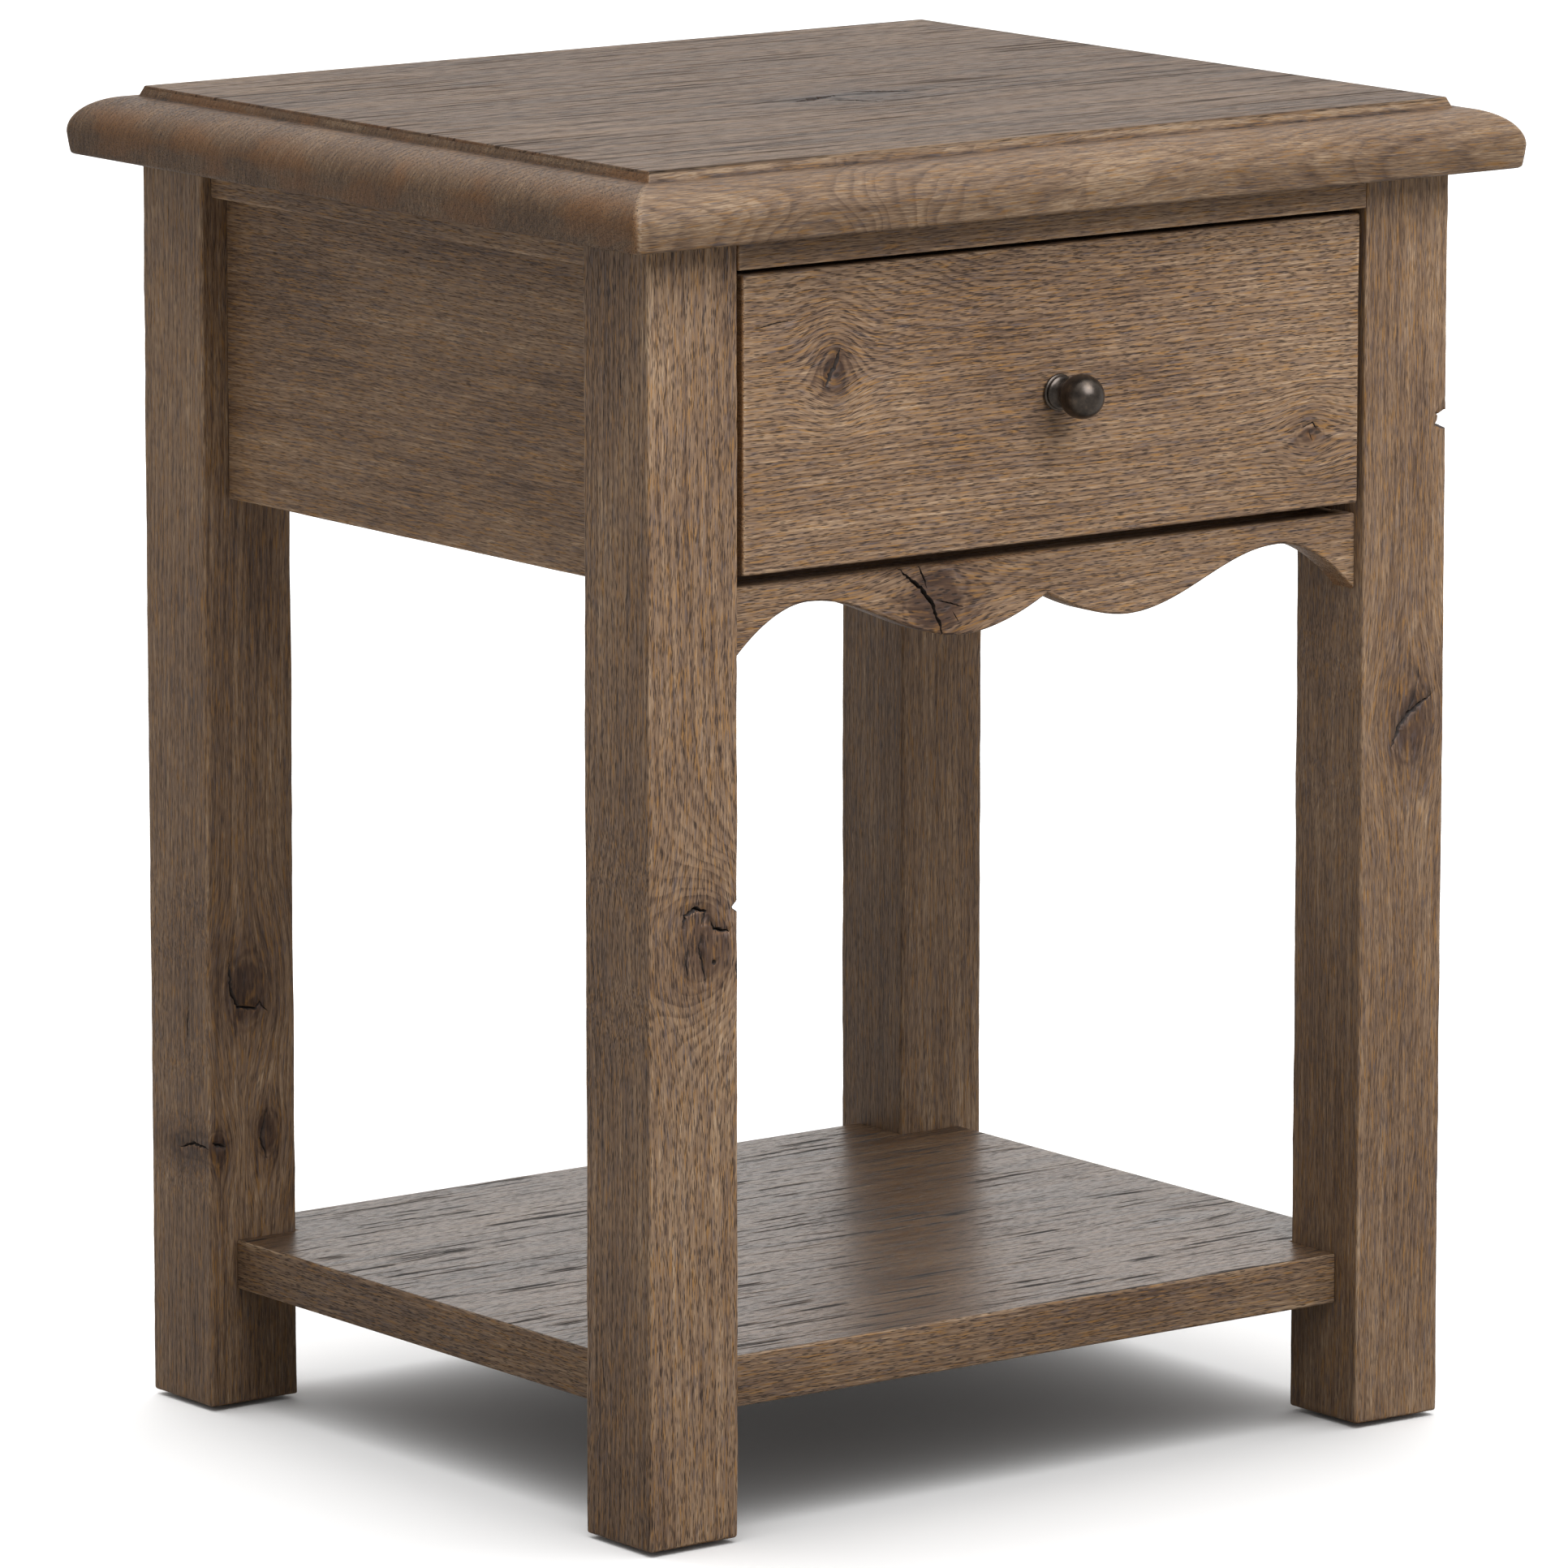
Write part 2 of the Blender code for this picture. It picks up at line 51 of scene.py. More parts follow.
# Softbox in front of the table
KEY_AIM = (0.0, 0.0, 0.35)
KEY_AZIMUTH = 2.0
KEY_ELEVATION = 42.0
KEY_DISTANCE = 2.6
KEY_SIZE = 1.6
KEY_POWER = 78.0
KEY_COLOUR = (0.96, 1.0, 1.08)

# Stain on the oak, multiplied into its colour. The stains of the top and the shelf are darker as painted
# shade, offsetting the stronger light on level faces
STAIN = (0.585, 0.565, 0.53)
TOP_STAIN_AND_SHADE = (0.246, 0.224, 0.197)
SHELF_STAIN_AND_SHADE = (0.258, 0.228, 0.190)
EDGE_STAIN = (0.335, 0.317, 0.292)
BOX_STAIN = (0.75, 0.68, 0.58)

# How finely each part of the figure repeats: along the grain, across it and through the board
SWAY = (3.2, 7.0, 7.0)
RIPPLE = (26.0, 40.0, 40.0)
PORES = (155.0, 1750.0, 1750.0)
FIBRES = (75.0, 1500.0, 1500.0)
STREAKS = (16.0, 420.0, 420.0)
CLOUDS = (6.0, 22.0, 22.0)
HUES = (75.0, 1100.0, 1100.0)
BANDS = (4.5, 150.0, 150.0)
DASHES = (24.0, 640.0, 640.0)
WIDE_DASHES = (17.0, 250.0, 250.0)
RAYS = (60.0, 620.0, 60.0)
EMBERS = (30.0, 26.0, 60.0)
WANDER = 0.007
RELIEF = 0.0003
WORN_WIDTH = 0.0022

# Display colours of the oak before its stain, 0 to 255
OAK_TONES = [(0.0, (52, 38, 30)), (0.32, (100, 77, 60)), (0.60, (143, 115, 91)), (0.85, (172, 143, 115)),
             (1.0, (200, 172, 142))]
WARM_FLECK = (176, 128, 66)
COOL_FLECK = (106, 96, 98)
KNOT_BROWN = (86, 62, 49)
END_BROWN = (128, 96, 64)
EMBER = (168, 112, 56)
PORE_DARK = (50, 41, 37)
DASH_DARK = (50, 41, 36)

# Meshes, in metres
STEP = 0.007
SINK = 0.00012
LEG_ARRIS = 0.0016
DRAWER_ARRIS = 0.0013
RAIL_ARRIS = 0.0010
APRON_ARRIS = 0.0012
SHELF_ARRIS = 0.0012
CRACK_LIFT = 0.0006
CRACK_STEP = 0.0013
SCALLOP_STEPS = 24
GAP = 0.0003
SHARP_ANGLE = 50
# Materials of the tabletop and the shelf: 0 on the field, and these on the edges
LONG_EDGE, END_EDGE = 1, 2

# Tabletop
TOP_OUTSET = 0.0295
TOP_STEP = 0.006
TOP_WIDTH, TOP_DEPTH = 0.540, 0.478
FIELD_LEVELS = 4

# Knob
BALL_RADIUS = 0.0108
BALL_REACH = 0.0188
NECK_RADIUS = 0.0048
NECK_START = 0.0038
KNOB_SEGMENTS = 64

# Faces that carry cracks
FRONT, BACK, LEFT, UP = (0, -1, 0), (0, 1, 0), (-1, 0, 0), (0, 0, 1)
LEG_FRONT = -0.211
LEG_LEFT = -0.2425
REAR_LEG_FRONT = 0.159
REAR_LEG_BACK = 0.211

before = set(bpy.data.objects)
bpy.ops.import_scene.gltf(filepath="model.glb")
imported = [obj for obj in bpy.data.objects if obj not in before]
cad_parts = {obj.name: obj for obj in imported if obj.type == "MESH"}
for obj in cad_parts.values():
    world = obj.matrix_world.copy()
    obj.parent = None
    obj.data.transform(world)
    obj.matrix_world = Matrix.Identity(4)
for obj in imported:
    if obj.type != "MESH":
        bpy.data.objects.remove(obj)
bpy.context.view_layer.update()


# ---------------------------------------------------------------- node trees


def rgb(red, green, blue):
    """A display colour, 0 to 255, as the linear colour that shaders take."""
    def linear(value):
        value /= 255
        return value / 12.92 if value <= 0.04045 else ((value + 0.055) / 1.055) ** 2.4
    return (linear(red), linear(green), linear(blue), 1.0)


class Net:
    """Short calls that add nodes to one tree and return their sockets."""

    def __init__(self, tree):
        self.tree = tree

    def add(self, kind, inputs=None, **settings):
        node = self.tree.nodes.new(kind)
        for key, value in settings.items():
            setattr(node, key, value)
        for key, value in (inputs or {}).items():
            self.feed(node.inputs[key], value)
        return node

    def feed(self, socket, value):
        if isinstance(value, bpy.types.NodeSocket):
            self.tree.links.new(value, socket)
        else:
            socket.default_value = value

    def math(self, operation, *values):
        return self.add("ShaderNodeMath", dict(enumerate(values)), operation=operation).outputs[0]

    def vector(self, operation, *values):
        node = self.add("ShaderNodeVectorMath", dict(enumerate(values)), operation=operation)
        return node.outputs["Value" if operation in ("LENGTH", "DISTANCE", "DOT_PRODUCT") else "Vector"]

    def scale(self, vector, factor):
        return self.add("ShaderNodeVectorMath", {0: vector, "Scale": factor}, operation="SCALE").outputs[0]

    def split(self, vector):
        return self.add("ShaderNodeSeparateXYZ", {0: vector}).outputs

    def join(self, x, y, z):
        return self.add("ShaderNodeCombineXYZ", {0: x, 1: y, 2: z}).outputs[0]

    def span(self, value, low, high, to_low=0.0, to_high=1.0):
        """Eases from to_low to to_high while the value goes from low to high."""
        inputs = {"Value": value, "From Min": low, "From Max": high, "To Min": to_low, "To Max": to_high}
        return self.add("ShaderNodeMapRange", inputs, interpolation_type="SMOOTHSTEP").outputs[0]

    def noise(self, vector, scale=1.0, detail=2.0, rough=0.5):
        inputs = {"Vector": vector, "Scale": scale, "Detail": detail, "Roughness": rough}
        return self.add("ShaderNodeTexNoise", inputs)

    def mix(self, factor, first, second, blend="MIX"):
        node = self.add("ShaderNodeMix", data_type="RGBA", blend_type=blend)
        self.feed(node.inputs[0], factor)
        self.feed(node.inputs[6], first)
        self.feed(node.inputs[7], second)
        return node.outputs[2]

    def ramp(self, value, *stops):
        node = self.add("ShaderNodeValToRGB", {0: value})
        elements = node.color_ramp.elements
        while len(elements) < len(stops):
            elements.new(0.5)
        for element, (place, colour) in zip(elements, stops):
            element.position = place
            element.color = colour
        return node.outputs[0]


def new_group(name, inputs, outputs):
    """A node group; inputs and outputs are (name, kind) pairs, kind Float, Vector or Color."""
    tree = bpy.data.node_groups.new(name, "ShaderNodeTree")
    for way, sockets in (("INPUT", inputs), ("OUTPUT", outputs)):
        for socket, kind in sockets:
            tree.interface.new_socket(socket, in_out=way, socket_type=f"NodeSocket{kind}")
    net = Net(tree)
    return tree, net, net.add("NodeGroupInput").outputs, net.add("NodeGroupOutput").inputs


def knot_group():
    """Pulls the grain round one knot, lifts the growth rings near it, and darkens its core, rim and halo."""
    tree, net, given, result = new_group(
        "knot",
        [("Grain", "Vector"), ("Push", "Float"), ("Dark", "Float"), ("Centre", "Vector"),
         ("Size", "Vector"), ("Pull", "Float"), ("Lift", "Float"), ("Depth", "Float")],
        [("Grain", "Vector"), ("Push", "Float"), ("Dark", "Float")])
    away = net.vector("SUBTRACT", given["Grain"], given["Centre"])
    scaled = net.vector("DIVIDE", away, given["Size"])
    ragged = net.noise(given["Grain"], 190.0, 2.0).outputs[0]
    uneven = net.noise(given["Grain"], 34.0, 1.0).outputs[0]
    smooth = net.math("ADD", net.vector("LENGTH", scaled),
                      net.math("MULTIPLY", net.math("SUBTRACT", uneven, 0.5), 0.6))
    distance = net.math("ADD", smooth, net.math("MULTIPLY", net.math("SUBTRACT", ragged, 0.5), 0.45))
    reach = net.math("MULTIPLY", smooth, 0.45)
    fall = net.math("EXPONENT", net.math("MULTIPLY", net.math("MULTIPLY", reach, reach), -1.0))
    bend = net.math("MULTIPLY", fall, given["Pull"])
    sideways = net.vector("MULTIPLY", away, (0.0, 1.0, 0.0))
    net.feed(result["Grain"], net.vector("SUBTRACT", given["Grain"], net.scale(sideways, bend)))
    net.feed(result["Push"], net.math("ADD", given["Push"], net.math("MULTIPLY", fall, given["Lift"])))
    core = net.span(distance, 0.55, 1.15, 1.0, 0.0)
    rim = net.span(net.math("ABSOLUTE", net.math("SUBTRACT", distance, 1.05)), 0.0, 0.22, 0.6, 0.0)
    halo = net.span(distance, 0.9, 2.3, 0.38, 0.0)
    dark = net.math("MULTIPLY", net.math("MAXIMUM", net.math("MAXIMUM", core, rim), halo), given["Depth"])
    net.feed(result["Dark"], net.math("MAXIMUM", given["Dark"], dark))
    return tree


def oak_group():
    """Weathered oak from places along the grain (X), across it (Y) and through the board (Z)."""
    tree, net, given, result = new_group(
        "weathered_oak",
        [("Grain", "Vector"), ("Push", "Float"), ("Dark", "Float"), ("Pith", "Vector"), ("Tilt", "Float"),
         ("Pitch", "Float"), ("End", "Float"), ("Wear", "Float"), ("Figure", "Float"), ("Dashes", "Float"),
         ("Bands", "Float"), ("Pores", "Float"), ("Dash Scale", "Vector")],
        [("Color", "Color"), ("Height", "Float"), ("Roughness", "Float")])
    grain = given["Grain"]
    slow = net.noise(net.vector("MULTIPLY", grain, SWAY), 1.0, 1.0).outputs["Color"]
    quick = net.noise(net.vector("MULTIPLY", grain, RIPPLE), 1.0, 1.0).outputs["Color"]
    sway = net.scale(net.vector("SUBTRACT", slow, (0.5, 0.5, 0.5)), WANDER)
    ripple = net.vector("MULTIPLY", net.vector("SUBTRACT", quick, (0.5, 0.5, 0.5)), (0.0, 0.0009, 0.0009))
    bent = net.vector("ADD", net.vector("ADD", grain, sway), ripple)

    # Growth rings: distance from the pith, in ring widths
    from_pith = net.vector("SUBTRACT", bent, given["Pith"])
    along, across, through = net.split(from_pith)[:3]
    through = net.math("ADD", through, net.math("MULTIPLY", along, given["Tilt"]))
    radius = net.math("SQRT", net.math("ADD", net.math("MULTIPLY", across, across),
                                       net.math("MULTIPLY", through, through)))
    radius = net.math("ADD", radius, given["Push"])
    uneven = net.noise(net.join(net.math("MULTIPLY", radius, 70.0), 0.0, 0.0), 1.0, 1.0).outputs[0]
    ring = net.math("ADD", net.math("DIVIDE", radius, given["Pitch"]), net.math("MULTIPLY", uneven, 1.7))
    phase = net.math("FRACT", ring)
    early = net.math("MAXIMUM", net.span(phase, 0.0, 0.5, 1.0, 0.0), net.span(phase, 0.86, 1.0))
    each_year = net.add("ShaderNodeTexWhiteNoise", {"W": net.math("FLOOR", ring)}, noise_dimensions="1D")

    # Pores, drawn out along the grain and crowded in the early wood where the figure is strong
    fine = net.vector("MULTIPLY", bent, PORES)
    cells = net.add("ShaderNodeTexVoronoi", {"Vector": fine, "Scale": 1.0, "Randomness": 1.0})
    crowd = net.math("MULTIPLY", net.math("SUBTRACT", early, 0.35), given["Figure"])
    open_to = net.math("ADD", 0.42, net.math("MULTIPLY", crowd, 0.8))
    pore = net.span(cells.outputs["Distance"], net.math("MULTIPLY", open_to, 0.4), open_to, 1.0, 0.0)
    pore = net.math("MULTIPLY", pore, given["Pores"])

    # Fibres, streaks, flecks of other hues, dark dashes and broad bands
    fibre = net.noise(net.vector("MULTIPLY", bent, FIBRES), 1.0, 2.0, 0.7).outputs[0]
    streak = net.noise(net.vector("MULTIPLY", bent, STREAKS), 1.0, 3.0, 0.6).outputs[0]
    cloud = net.noise(net.vector("MULTIPLY", grain, CLOUDS), 1.0, 2.0, 0.5).outputs[0]
    hue = net.noise(net.vector("MULTIPLY", bent, HUES), 1.0, 2.0, 0.6).outputs["Color"]
    hues = net.add("ShaderNodeSeparateColor", {0: hue}).outputs
    dash = net.noise(net.vector("MULTIPLY", bent, given["Dash Scale"]), 1.0, 2.0, 0.6).outputs[0]
    dash = net.math("MULTIPLY", net.span(dash, 0.57, 0.68), given["Dashes"])
    band = net.noise(net.vector("MULTIPLY", bent, BANDS), 1.0, 4.0, 0.65).outputs[0]
    band = net.math("MULTIPLY", net.math("SUBTRACT", band, 0.5), given["Bands"])

    # End grain: rays, and patches where the stain glows
    rays = net.noise(net.vector("MULTIPLY", grain, RAYS), 1.0, 2.0, 0.6).outputs[0]
    rays = net.math("MULTIPLY", net.math("SUBTRACT", rays, 0.5), net.math("MULTIPLY", given["End"], 1.3))
    ember = net.noise(net.vector("MULTIPLY", grain, EMBERS), 1.0, 2.0, 0.5).outputs[0]
    ember = net.math("MULTIPLY", net.span(ember, 0.42, 0.62), given["End"])

    # One tone from dark to light, then the hues over it
    tone = net.math("ADD", 0.60, net.math("MULTIPLY", net.math("SUBTRACT", fibre, 0.5), 1.25))
    tone = net.math("ADD", tone, net.math("MULTIPLY", net.math("SUBTRACT", streak, 0.5), 0.55))
    tone = net.math("ADD", tone, net.math("MULTIPLY", net.math("SUBTRACT", cloud, 0.5), 0.65))
    tone = net.math("ADD", tone, net.math("MULTIPLY", net.math("SUBTRACT", each_year.outputs[0], 0.5), 0.10))
    tone = net.math("ADD", net.math("ADD", tone, rays), band)
    ring_lines = net.math("MULTIPLY", crowd, net.span(given["End"], 0.0, 1.0, 1.0, 0.5))
    tone = net.math("SUBTRACT", tone, ring_lines)
    tone = net.math("SUBTRACT", tone, net.math("MULTIPLY", given["Dark"], 0.48))
    tone = net.math("ADD", tone, net.math("MULTIPLY", given["Wear"], 0.19))
    colour = net.ramp(tone, *[(place, rgb(*shade)) for place, shade in OAK_TONES])
    warm = net.span(hues[0], 0.53, 0.68, 0.0, 0.66)
    colour = net.mix(warm, colour, rgb(*WARM_FLECK))
    cool = net.span(hues[1], 0.54, 0.70, 0.0, 0.65)
    colour = net.mix(cool, colour, rgb(*COOL_FLECK))
    colour = net.mix(net.math("MULTIPLY", given["Dark"], 0.5), colour, rgb(*KNOT_BROWN))
    colour = net.mix(net.math("MULTIPLY", given["End"], 0.35), colour, rgb(*END_BROWN))
    colour = net.mix(net.math("MULTIPLY", ember, 0.45), colour, rgb(*EMBER))
    colour = net.mix(net.math("MULTIPLY", pore, 0.78), colour, rgb(*PORE_DARK))
    colour = net.mix(dash, colour, rgb(*DASH_DARK))
    net.feed(result["Color"], colour)

    height = net.math("SUBTRACT", net.math("MULTIPLY", fibre, 0.35), net.math("MULTIPLY", pore, 0.8))
    height = net.math("SUBTRACT", height, net.math("MULTIPLY", crowd, 0.8))
    net.feed(result["Height"], net.math("SUBTRACT", height, net.math("MULTIPLY", dash, 0.5)))
    open_grain = net.math("ADD", net.math("MULTIPLY", pore, 0.25), net.math("MULTIPLY", dash, 0.5))
    uneven_rub = net.math("MULTIPLY", net.math("SUBTRACT", streak, 0.5), 0.2)
    net.feed(result["Roughness"], net.math("ADD", net.math("ADD", 0.50, open_grain), uneven_rub))
    return tree


def arris_group():
    """1 on the worn arrises of a box between Low and High, fading to 0 on its faces."""
    tree, net, given, result = new_group(
        "arris", [("Place", "Vector"), ("Low", "Vector"), ("High", "Vector")], [("Wear", "Float")])
    inside = net.vector("MINIMUM", net.vector("SUBTRACT", given["Place"], given["Low"]),
                        net.vector("SUBTRACT", given["High"], given["Place"]))
    x, y, z = net.split(inside)[:3]
    # The second smallest of the three distances is small only near an edge where two faces meet
    middle = net.math("MAXIMUM", net.math("MINIMUM", x, y), net.math("MINIMUM", net.math("MAXIMUM", x, y), z))
    patchy = net.noise(given["Place"], 60.0, 2.0).outputs[0]
    limit = net.math("MULTIPLY", WORN_WIDTH, net.span(patchy, 0.3, 0.7, 0.35, 1.6))
    net.feed(result["Wear"], net.span(middle, 0.0, limit, 1.0, 0.0))
    return tree


GROUPS = {"knot": knot_group(), "oak": oak_group(), "arris": arris_group()}


def use_group(net, name, **inputs):
    node = net.add("ShaderNodeGroup")
    node.node_tree = GROUPS[name]
    for key, value in inputs.items():
        net.feed(node.inputs[key.replace("_", " ")], value)
    return node


def new_material(name):
    material = bpy.data.materials.new(name)
    material.use_nodes = True
    net = Net(material.node_tree)
    shader = material.node_tree.nodes["Principled BSDF"]
    return material, net, shader


def oak(name, axes, pith, pitch=0.0030, tilt=0.0, knots=(), box=None, worn_at="", seed=0, tint=STAIN,
        figure=0.14, dashes=0.12, dash_scale=DASHES, bands=0.15, pores=1.0, stretch=1.0, shine=0.0,
        gloss=0.2, painted_floor_shade=1.0):
    """Weathered oak for one board.

    axes says which of X, Y, Z run along the grain, across it and through the board. pith is a place in
    those axes, and each knot is (centre, size, pull, lift, depth). Arrises are worn on the box, or where
    the mesh's attribute worn_at says; on the tabletop that attribute also carries painted light and shade.
    stretch below 1 draws the figure out along the grain, shine makes the surface smoother, and
    painted_floor_shade darkens a leg or edge towards the floor as painted shade.
    """
    material, net, shader = new_material(name)
    place = net.add("ShaderNodeTexCoord").outputs["Object"]
    facing = net.add("ShaderNodeTexCoord").outputs["Normal"]
    order = ["XYZ".index(axis) for axis in axes]
    parts = net.split(place)
    grain = net.join(*[parts[i] for i in order])
    end = net.span(net.math("ABSOLUTE", net.split(facing)[order[0]]), 0.35, 0.8)
    push, dark = 0.0, 0.0
    for centre, size, pull, lift, depth in knots:
        knot = use_group(net, "knot", Grain=grain, Push=push, Dark=dark, Centre=centre, Size=size, Pull=pull,
                         Lift=lift, Depth=depth)
        grain, push, dark = knot.outputs
    random.seed(seed)
    away = Vector((random.uniform(1, 9), 0, 0))
    grain = net.vector("MULTIPLY", net.vector("ADD", grain, away), (stretch, 1.0, 1.0))
    wood = use_group(net, "oak", Grain=grain, Push=push, Dark=dark, Pith=Vector(pith) + away * stretch,
                     Tilt=tilt, Pitch=pitch, End=end, Figure=figure, Dashes=dashes, Bands=bands,
                     Pores=pores, Dash_Scale=dash_scale)
    if box:
        arris = use_group(net, "arris", Place=place, Low=box[0], High=box[1])
        net.feed(wood.inputs["Wear"], arris.outputs[0])
    if worn_at:
        worn = net.add("ShaderNodeAttribute", attribute_name=worn_at)
        net.feed(wood.inputs["Wear"], worn.outputs["Fac"])
    colour, height, rough = wood.outputs
    colour = net.mix(1.0, colour, (*tint, 1.0), "MULTIPLY")
    # Painted shade: the colour is darkened towards the floor.
    if painted_floor_shade < 1.0:
        painted_height_shade = net.span(parts[2], 0.0, 0.6, painted_floor_shade, 1.0)
        colour = net.mix(1.0, colour, net.join(painted_height_shade, painted_height_shade, painted_height_shade), "MULTIPLY")
    net.feed(shader.inputs["Base Color"], colour)
    net.feed(shader.inputs["Roughness"], net.math("SUBTRACT", rough, shine))
    shader.inputs["Specular IOR Level"].default_value = gloss
    bump = net.add("ShaderNodeBump", {"Height": height, "Distance": RELIEF, "Strength": 1.0})
    net.feed(shader.inputs["Normal"], bump.outputs[0])
    return material


def crack_shade_material():
    """Dark wood inside cracks and chips, made near black as painted shade."""
    material, net, shader = new_material("painted_crack_shade")
    place = net.add("ShaderNodeTexCoord").outputs["Object"]
    patch = net.noise(place, 420.0, 3.0, 0.6).outputs[0]
    # Near black: painted shade in the cracks and chips.
    colour = net.ramp(patch, (0.3, rgb(22, 15, 11)), (0.75, rgb(52, 38, 28)))
    net.feed(shader.inputs["Base Color"], colour)
    net.feed(shader.inputs["Roughness"], net.span(patch, 0.2, 0.8, 0.75, 0.95))
    bump = net.add("ShaderNodeBump", {"Height": patch, "Distance": 0.0004})
    net.feed(shader.inputs["Normal"], bump.outputs[0])
    return material


def bronze_material():
    """Oil-rubbed bronze: nearly black, with cloudy patches rubbed browner."""
    material, net, shader = new_material("dark_bronze")
    place = net.add("ShaderNodeTexCoord").outputs["Object"]
    cloud = net.noise(place, 240.0, 4.0, 0.6).outputs[0]
    speck = net.noise(place, 1900.0, 2.0, 0.5).outputs[0]
    colour = net.ramp(cloud, (0.25, rgb(50, 45, 41)), (0.55, rgb(70, 62, 55)), (0.8, rgb(98, 84, 70)))
    net.feed(shader.inputs["Base Color"], colour)
    shader.inputs["Metallic"].default_value = 0.85
    net.feed(shader.inputs["Roughness"], net.span(cloud, 0.2, 0.8, 0.26, 0.38))
    bump = net.add("ShaderNodeBump", {"Height": speck, "Distance": 0.00003})
    net.feed(shader.inputs["Normal"], bump.outputs[0])
    return material


def steel_material():
    """Zinc-plated steel with faint drawing lines and cloudy plating."""
    material, net, shader = new_material("zinc_plated_steel")
    place = net.add("ShaderNodeTexCoord").outputs["Object"]
    lines = net.noise(net.vector("MULTIPLY", place, (1.0, 0.02, 1.0)), 2600.0, 2.0, 0.5).outputs[0]
    cloud = net.noise(place, 55.0, 3.0, 0.6).outputs[0]
    colour = net.ramp(cloud, (0.3, rgb(176, 178, 180)), (0.7, rgb(206, 206, 202)))
    net.feed(shader.inputs["Base Color"], colour)
    shader.inputs["Metallic"].default_value = 1.0
    net.feed(shader.inputs["Roughness"], net.span(net.math("ADD", cloud, lines), 0.7, 1.3, 0.26, 0.42))
    bump = net.add("ShaderNodeBump", {"Height": lines, "Distance": 0.00002})
    net.feed(shader.inputs["Normal"], bump.outputs[0])
    return material


def plastic_material():
    """Dark moulded plastic of the glides, finely textured."""
    material, net, shader = new_material("dark_plastic")
    place = net.add("ShaderNodeTexCoord").outputs["Object"]
    grit = net.noise(place, 2400.0, 2.0, 0.5).outputs[0]
    scuff = net.noise(place, 160.0, 3.0, 0.6).outputs[0]
    colour = net.ramp(scuff, (0.3, rgb(30, 28, 27)), (0.75, rgb(52, 49, 46)))
    net.feed(shader.inputs["Base Color"], colour)
    net.feed(shader.inputs["Roughness"], net.span(scuff, 0.3, 0.7, 0.5, 0.72))
    bump = net.add("ShaderNodeBump", {"Height": grit, "Distance": 0.00004})
    net.feed(shader.inputs["Normal"], bump.outputs[0])
    return material


CRACK_SHADE = crack_shade_material()
BRONZE = bronze_material()
STEEL = steel_material()
PLASTIC = plastic_material()


# ---------------------------------------------------------------- meshes


def add_piece(name, bm, materials):
    """A mesh object at the origin, smooth but for sharp corners and flat faces of many sides."""
    bmesh.ops.recalc_face_normals(bm, faces=bm.faces)
    mesh = bpy.data.meshes.new(name)
    bm.to_mesh(mesh)
    bm.free()
    mesh.shade_smooth()
    mesh.set_sharp_from_angle(angle=math.radians(SHARP_ANGLE))
    for face in mesh.polygons:
        face.use_smooth = len(face.vertices) < 8
    for material in materials:
        mesh.materials.append(material)
    piece = bpy.data.objects.new(name, mesh)
    bpy.context.scene.collection.objects.link(piece)
    return piece


def stations(low, high, radius):
    """Places along one side of a board: close together on its rounded ends, then a step apart."""
    ends = [0.0, radius * 0.586, radius, radius * 1.7]
    first, length = low + ends[-1], high - low - 2 * ends[-1]
    count = max(1, round(length / STEP))
    inner = [first + length * i / count for i in range(1, count)]
    return [low + e for e in ends] + inner + [high - e for e in reversed(ends)]


def worn(point, low, high, radius):
    """Where a point of a sharp box goes once its arrises are worn round and its faces are planed by hand."""
    local = radius * (1.0 + 0.55 * noise.noise(point * 22.0) + 0.35 * noise.noise(point * 90.0))
    local = max(0.35 * radius, local)
    inner = Vector([min(max(point[i], low[i] + local), high[i] - local) for i in range(3)])
    away = point - inner
    if away.length > 1e-9:
        direction = away.normalized()
        point = inner + direction * local
        depth = SINK * (0.5 + 0.5 * noise.noise(point * 16.0))
        point = point - direction * depth
    return point


def board_mesh(low, high, radius):
    """A box between two corners as a fine skin, with rounded and worn arrises."""
    low, high = Vector(low), Vector(high)
    places = [stations(low[i], high[i], radius) for i in range(3)]
    bm = bmesh.new()
    made = {}

    def vertex(index):
        if index not in made:
            point = Vector([places[i][index[i]] for i in range(3)])
            made[index] = bm.verts.new(worn(point, low, high, radius))
        return made[index]

    for axis in range(3):
        one, two = [i for i in range(3) if i != axis]
        for end in (0, len(places[axis]) - 1):
            for i in range(len(places[one]) - 1):
                for j in range(len(places[two]) - 1):
                    corners = []
                    for a, b in ((i, j), (i + 1, j), (i + 1, j + 1), (i, j + 1)):
                        index = [0, 0, 0]
                        index[axis], index[one], index[two] = end, a, b
                        corners.append(vertex(tuple(index)))
                    bm.faces.new(corners)
    return bm


def crack_mesh(bm, path, normal, width, depth):
    """Adds a ragged V-shaped cutter along a path on a face."""
    normal = Vector(normal)
    path = [Vector(p) for p in path]
    points = []
    for first, last in zip(path, path[1:]):
        count = max(1, round((last - first).length / CRACK_STEP))
        points += [first.lerp(last, i / count) for i in range(count)]
    points.append(path[-1])
    rings = []
    for i, point in enumerate(points):
        ahead = points[min(i + 1, len(points) - 1)] - points[max(i - 1, 0)]
        side = normal.cross(ahead).normalized()
        t = i / (len(points) - 1)
        swell = max(0.16, math.sin(math.pi * t) ** 0.6)
        half = width / 2 * swell * random.uniform(0.65, 1.25)
        point = point + side * random.uniform(-0.2, 0.2) * width
        deep = depth * max(0.3, swell)
        spread = half * (1 + CRACK_LIFT / deep)
        rings.append([bm.verts.new(point + normal * CRACK_LIFT + side * spread),
                      bm.verts.new(point + normal * CRACK_LIFT - side * spread),
                      bm.verts.new(point - normal * deep)])
    for near, far in zip(rings, rings[1:]):
        for i in range(3):
            j = (i + 1) % 3
            bm.faces.new((near[i], near[j], far[j], far[i]))
    bm.faces.new(rings[0])
    bm.faces.new(rings[-1])


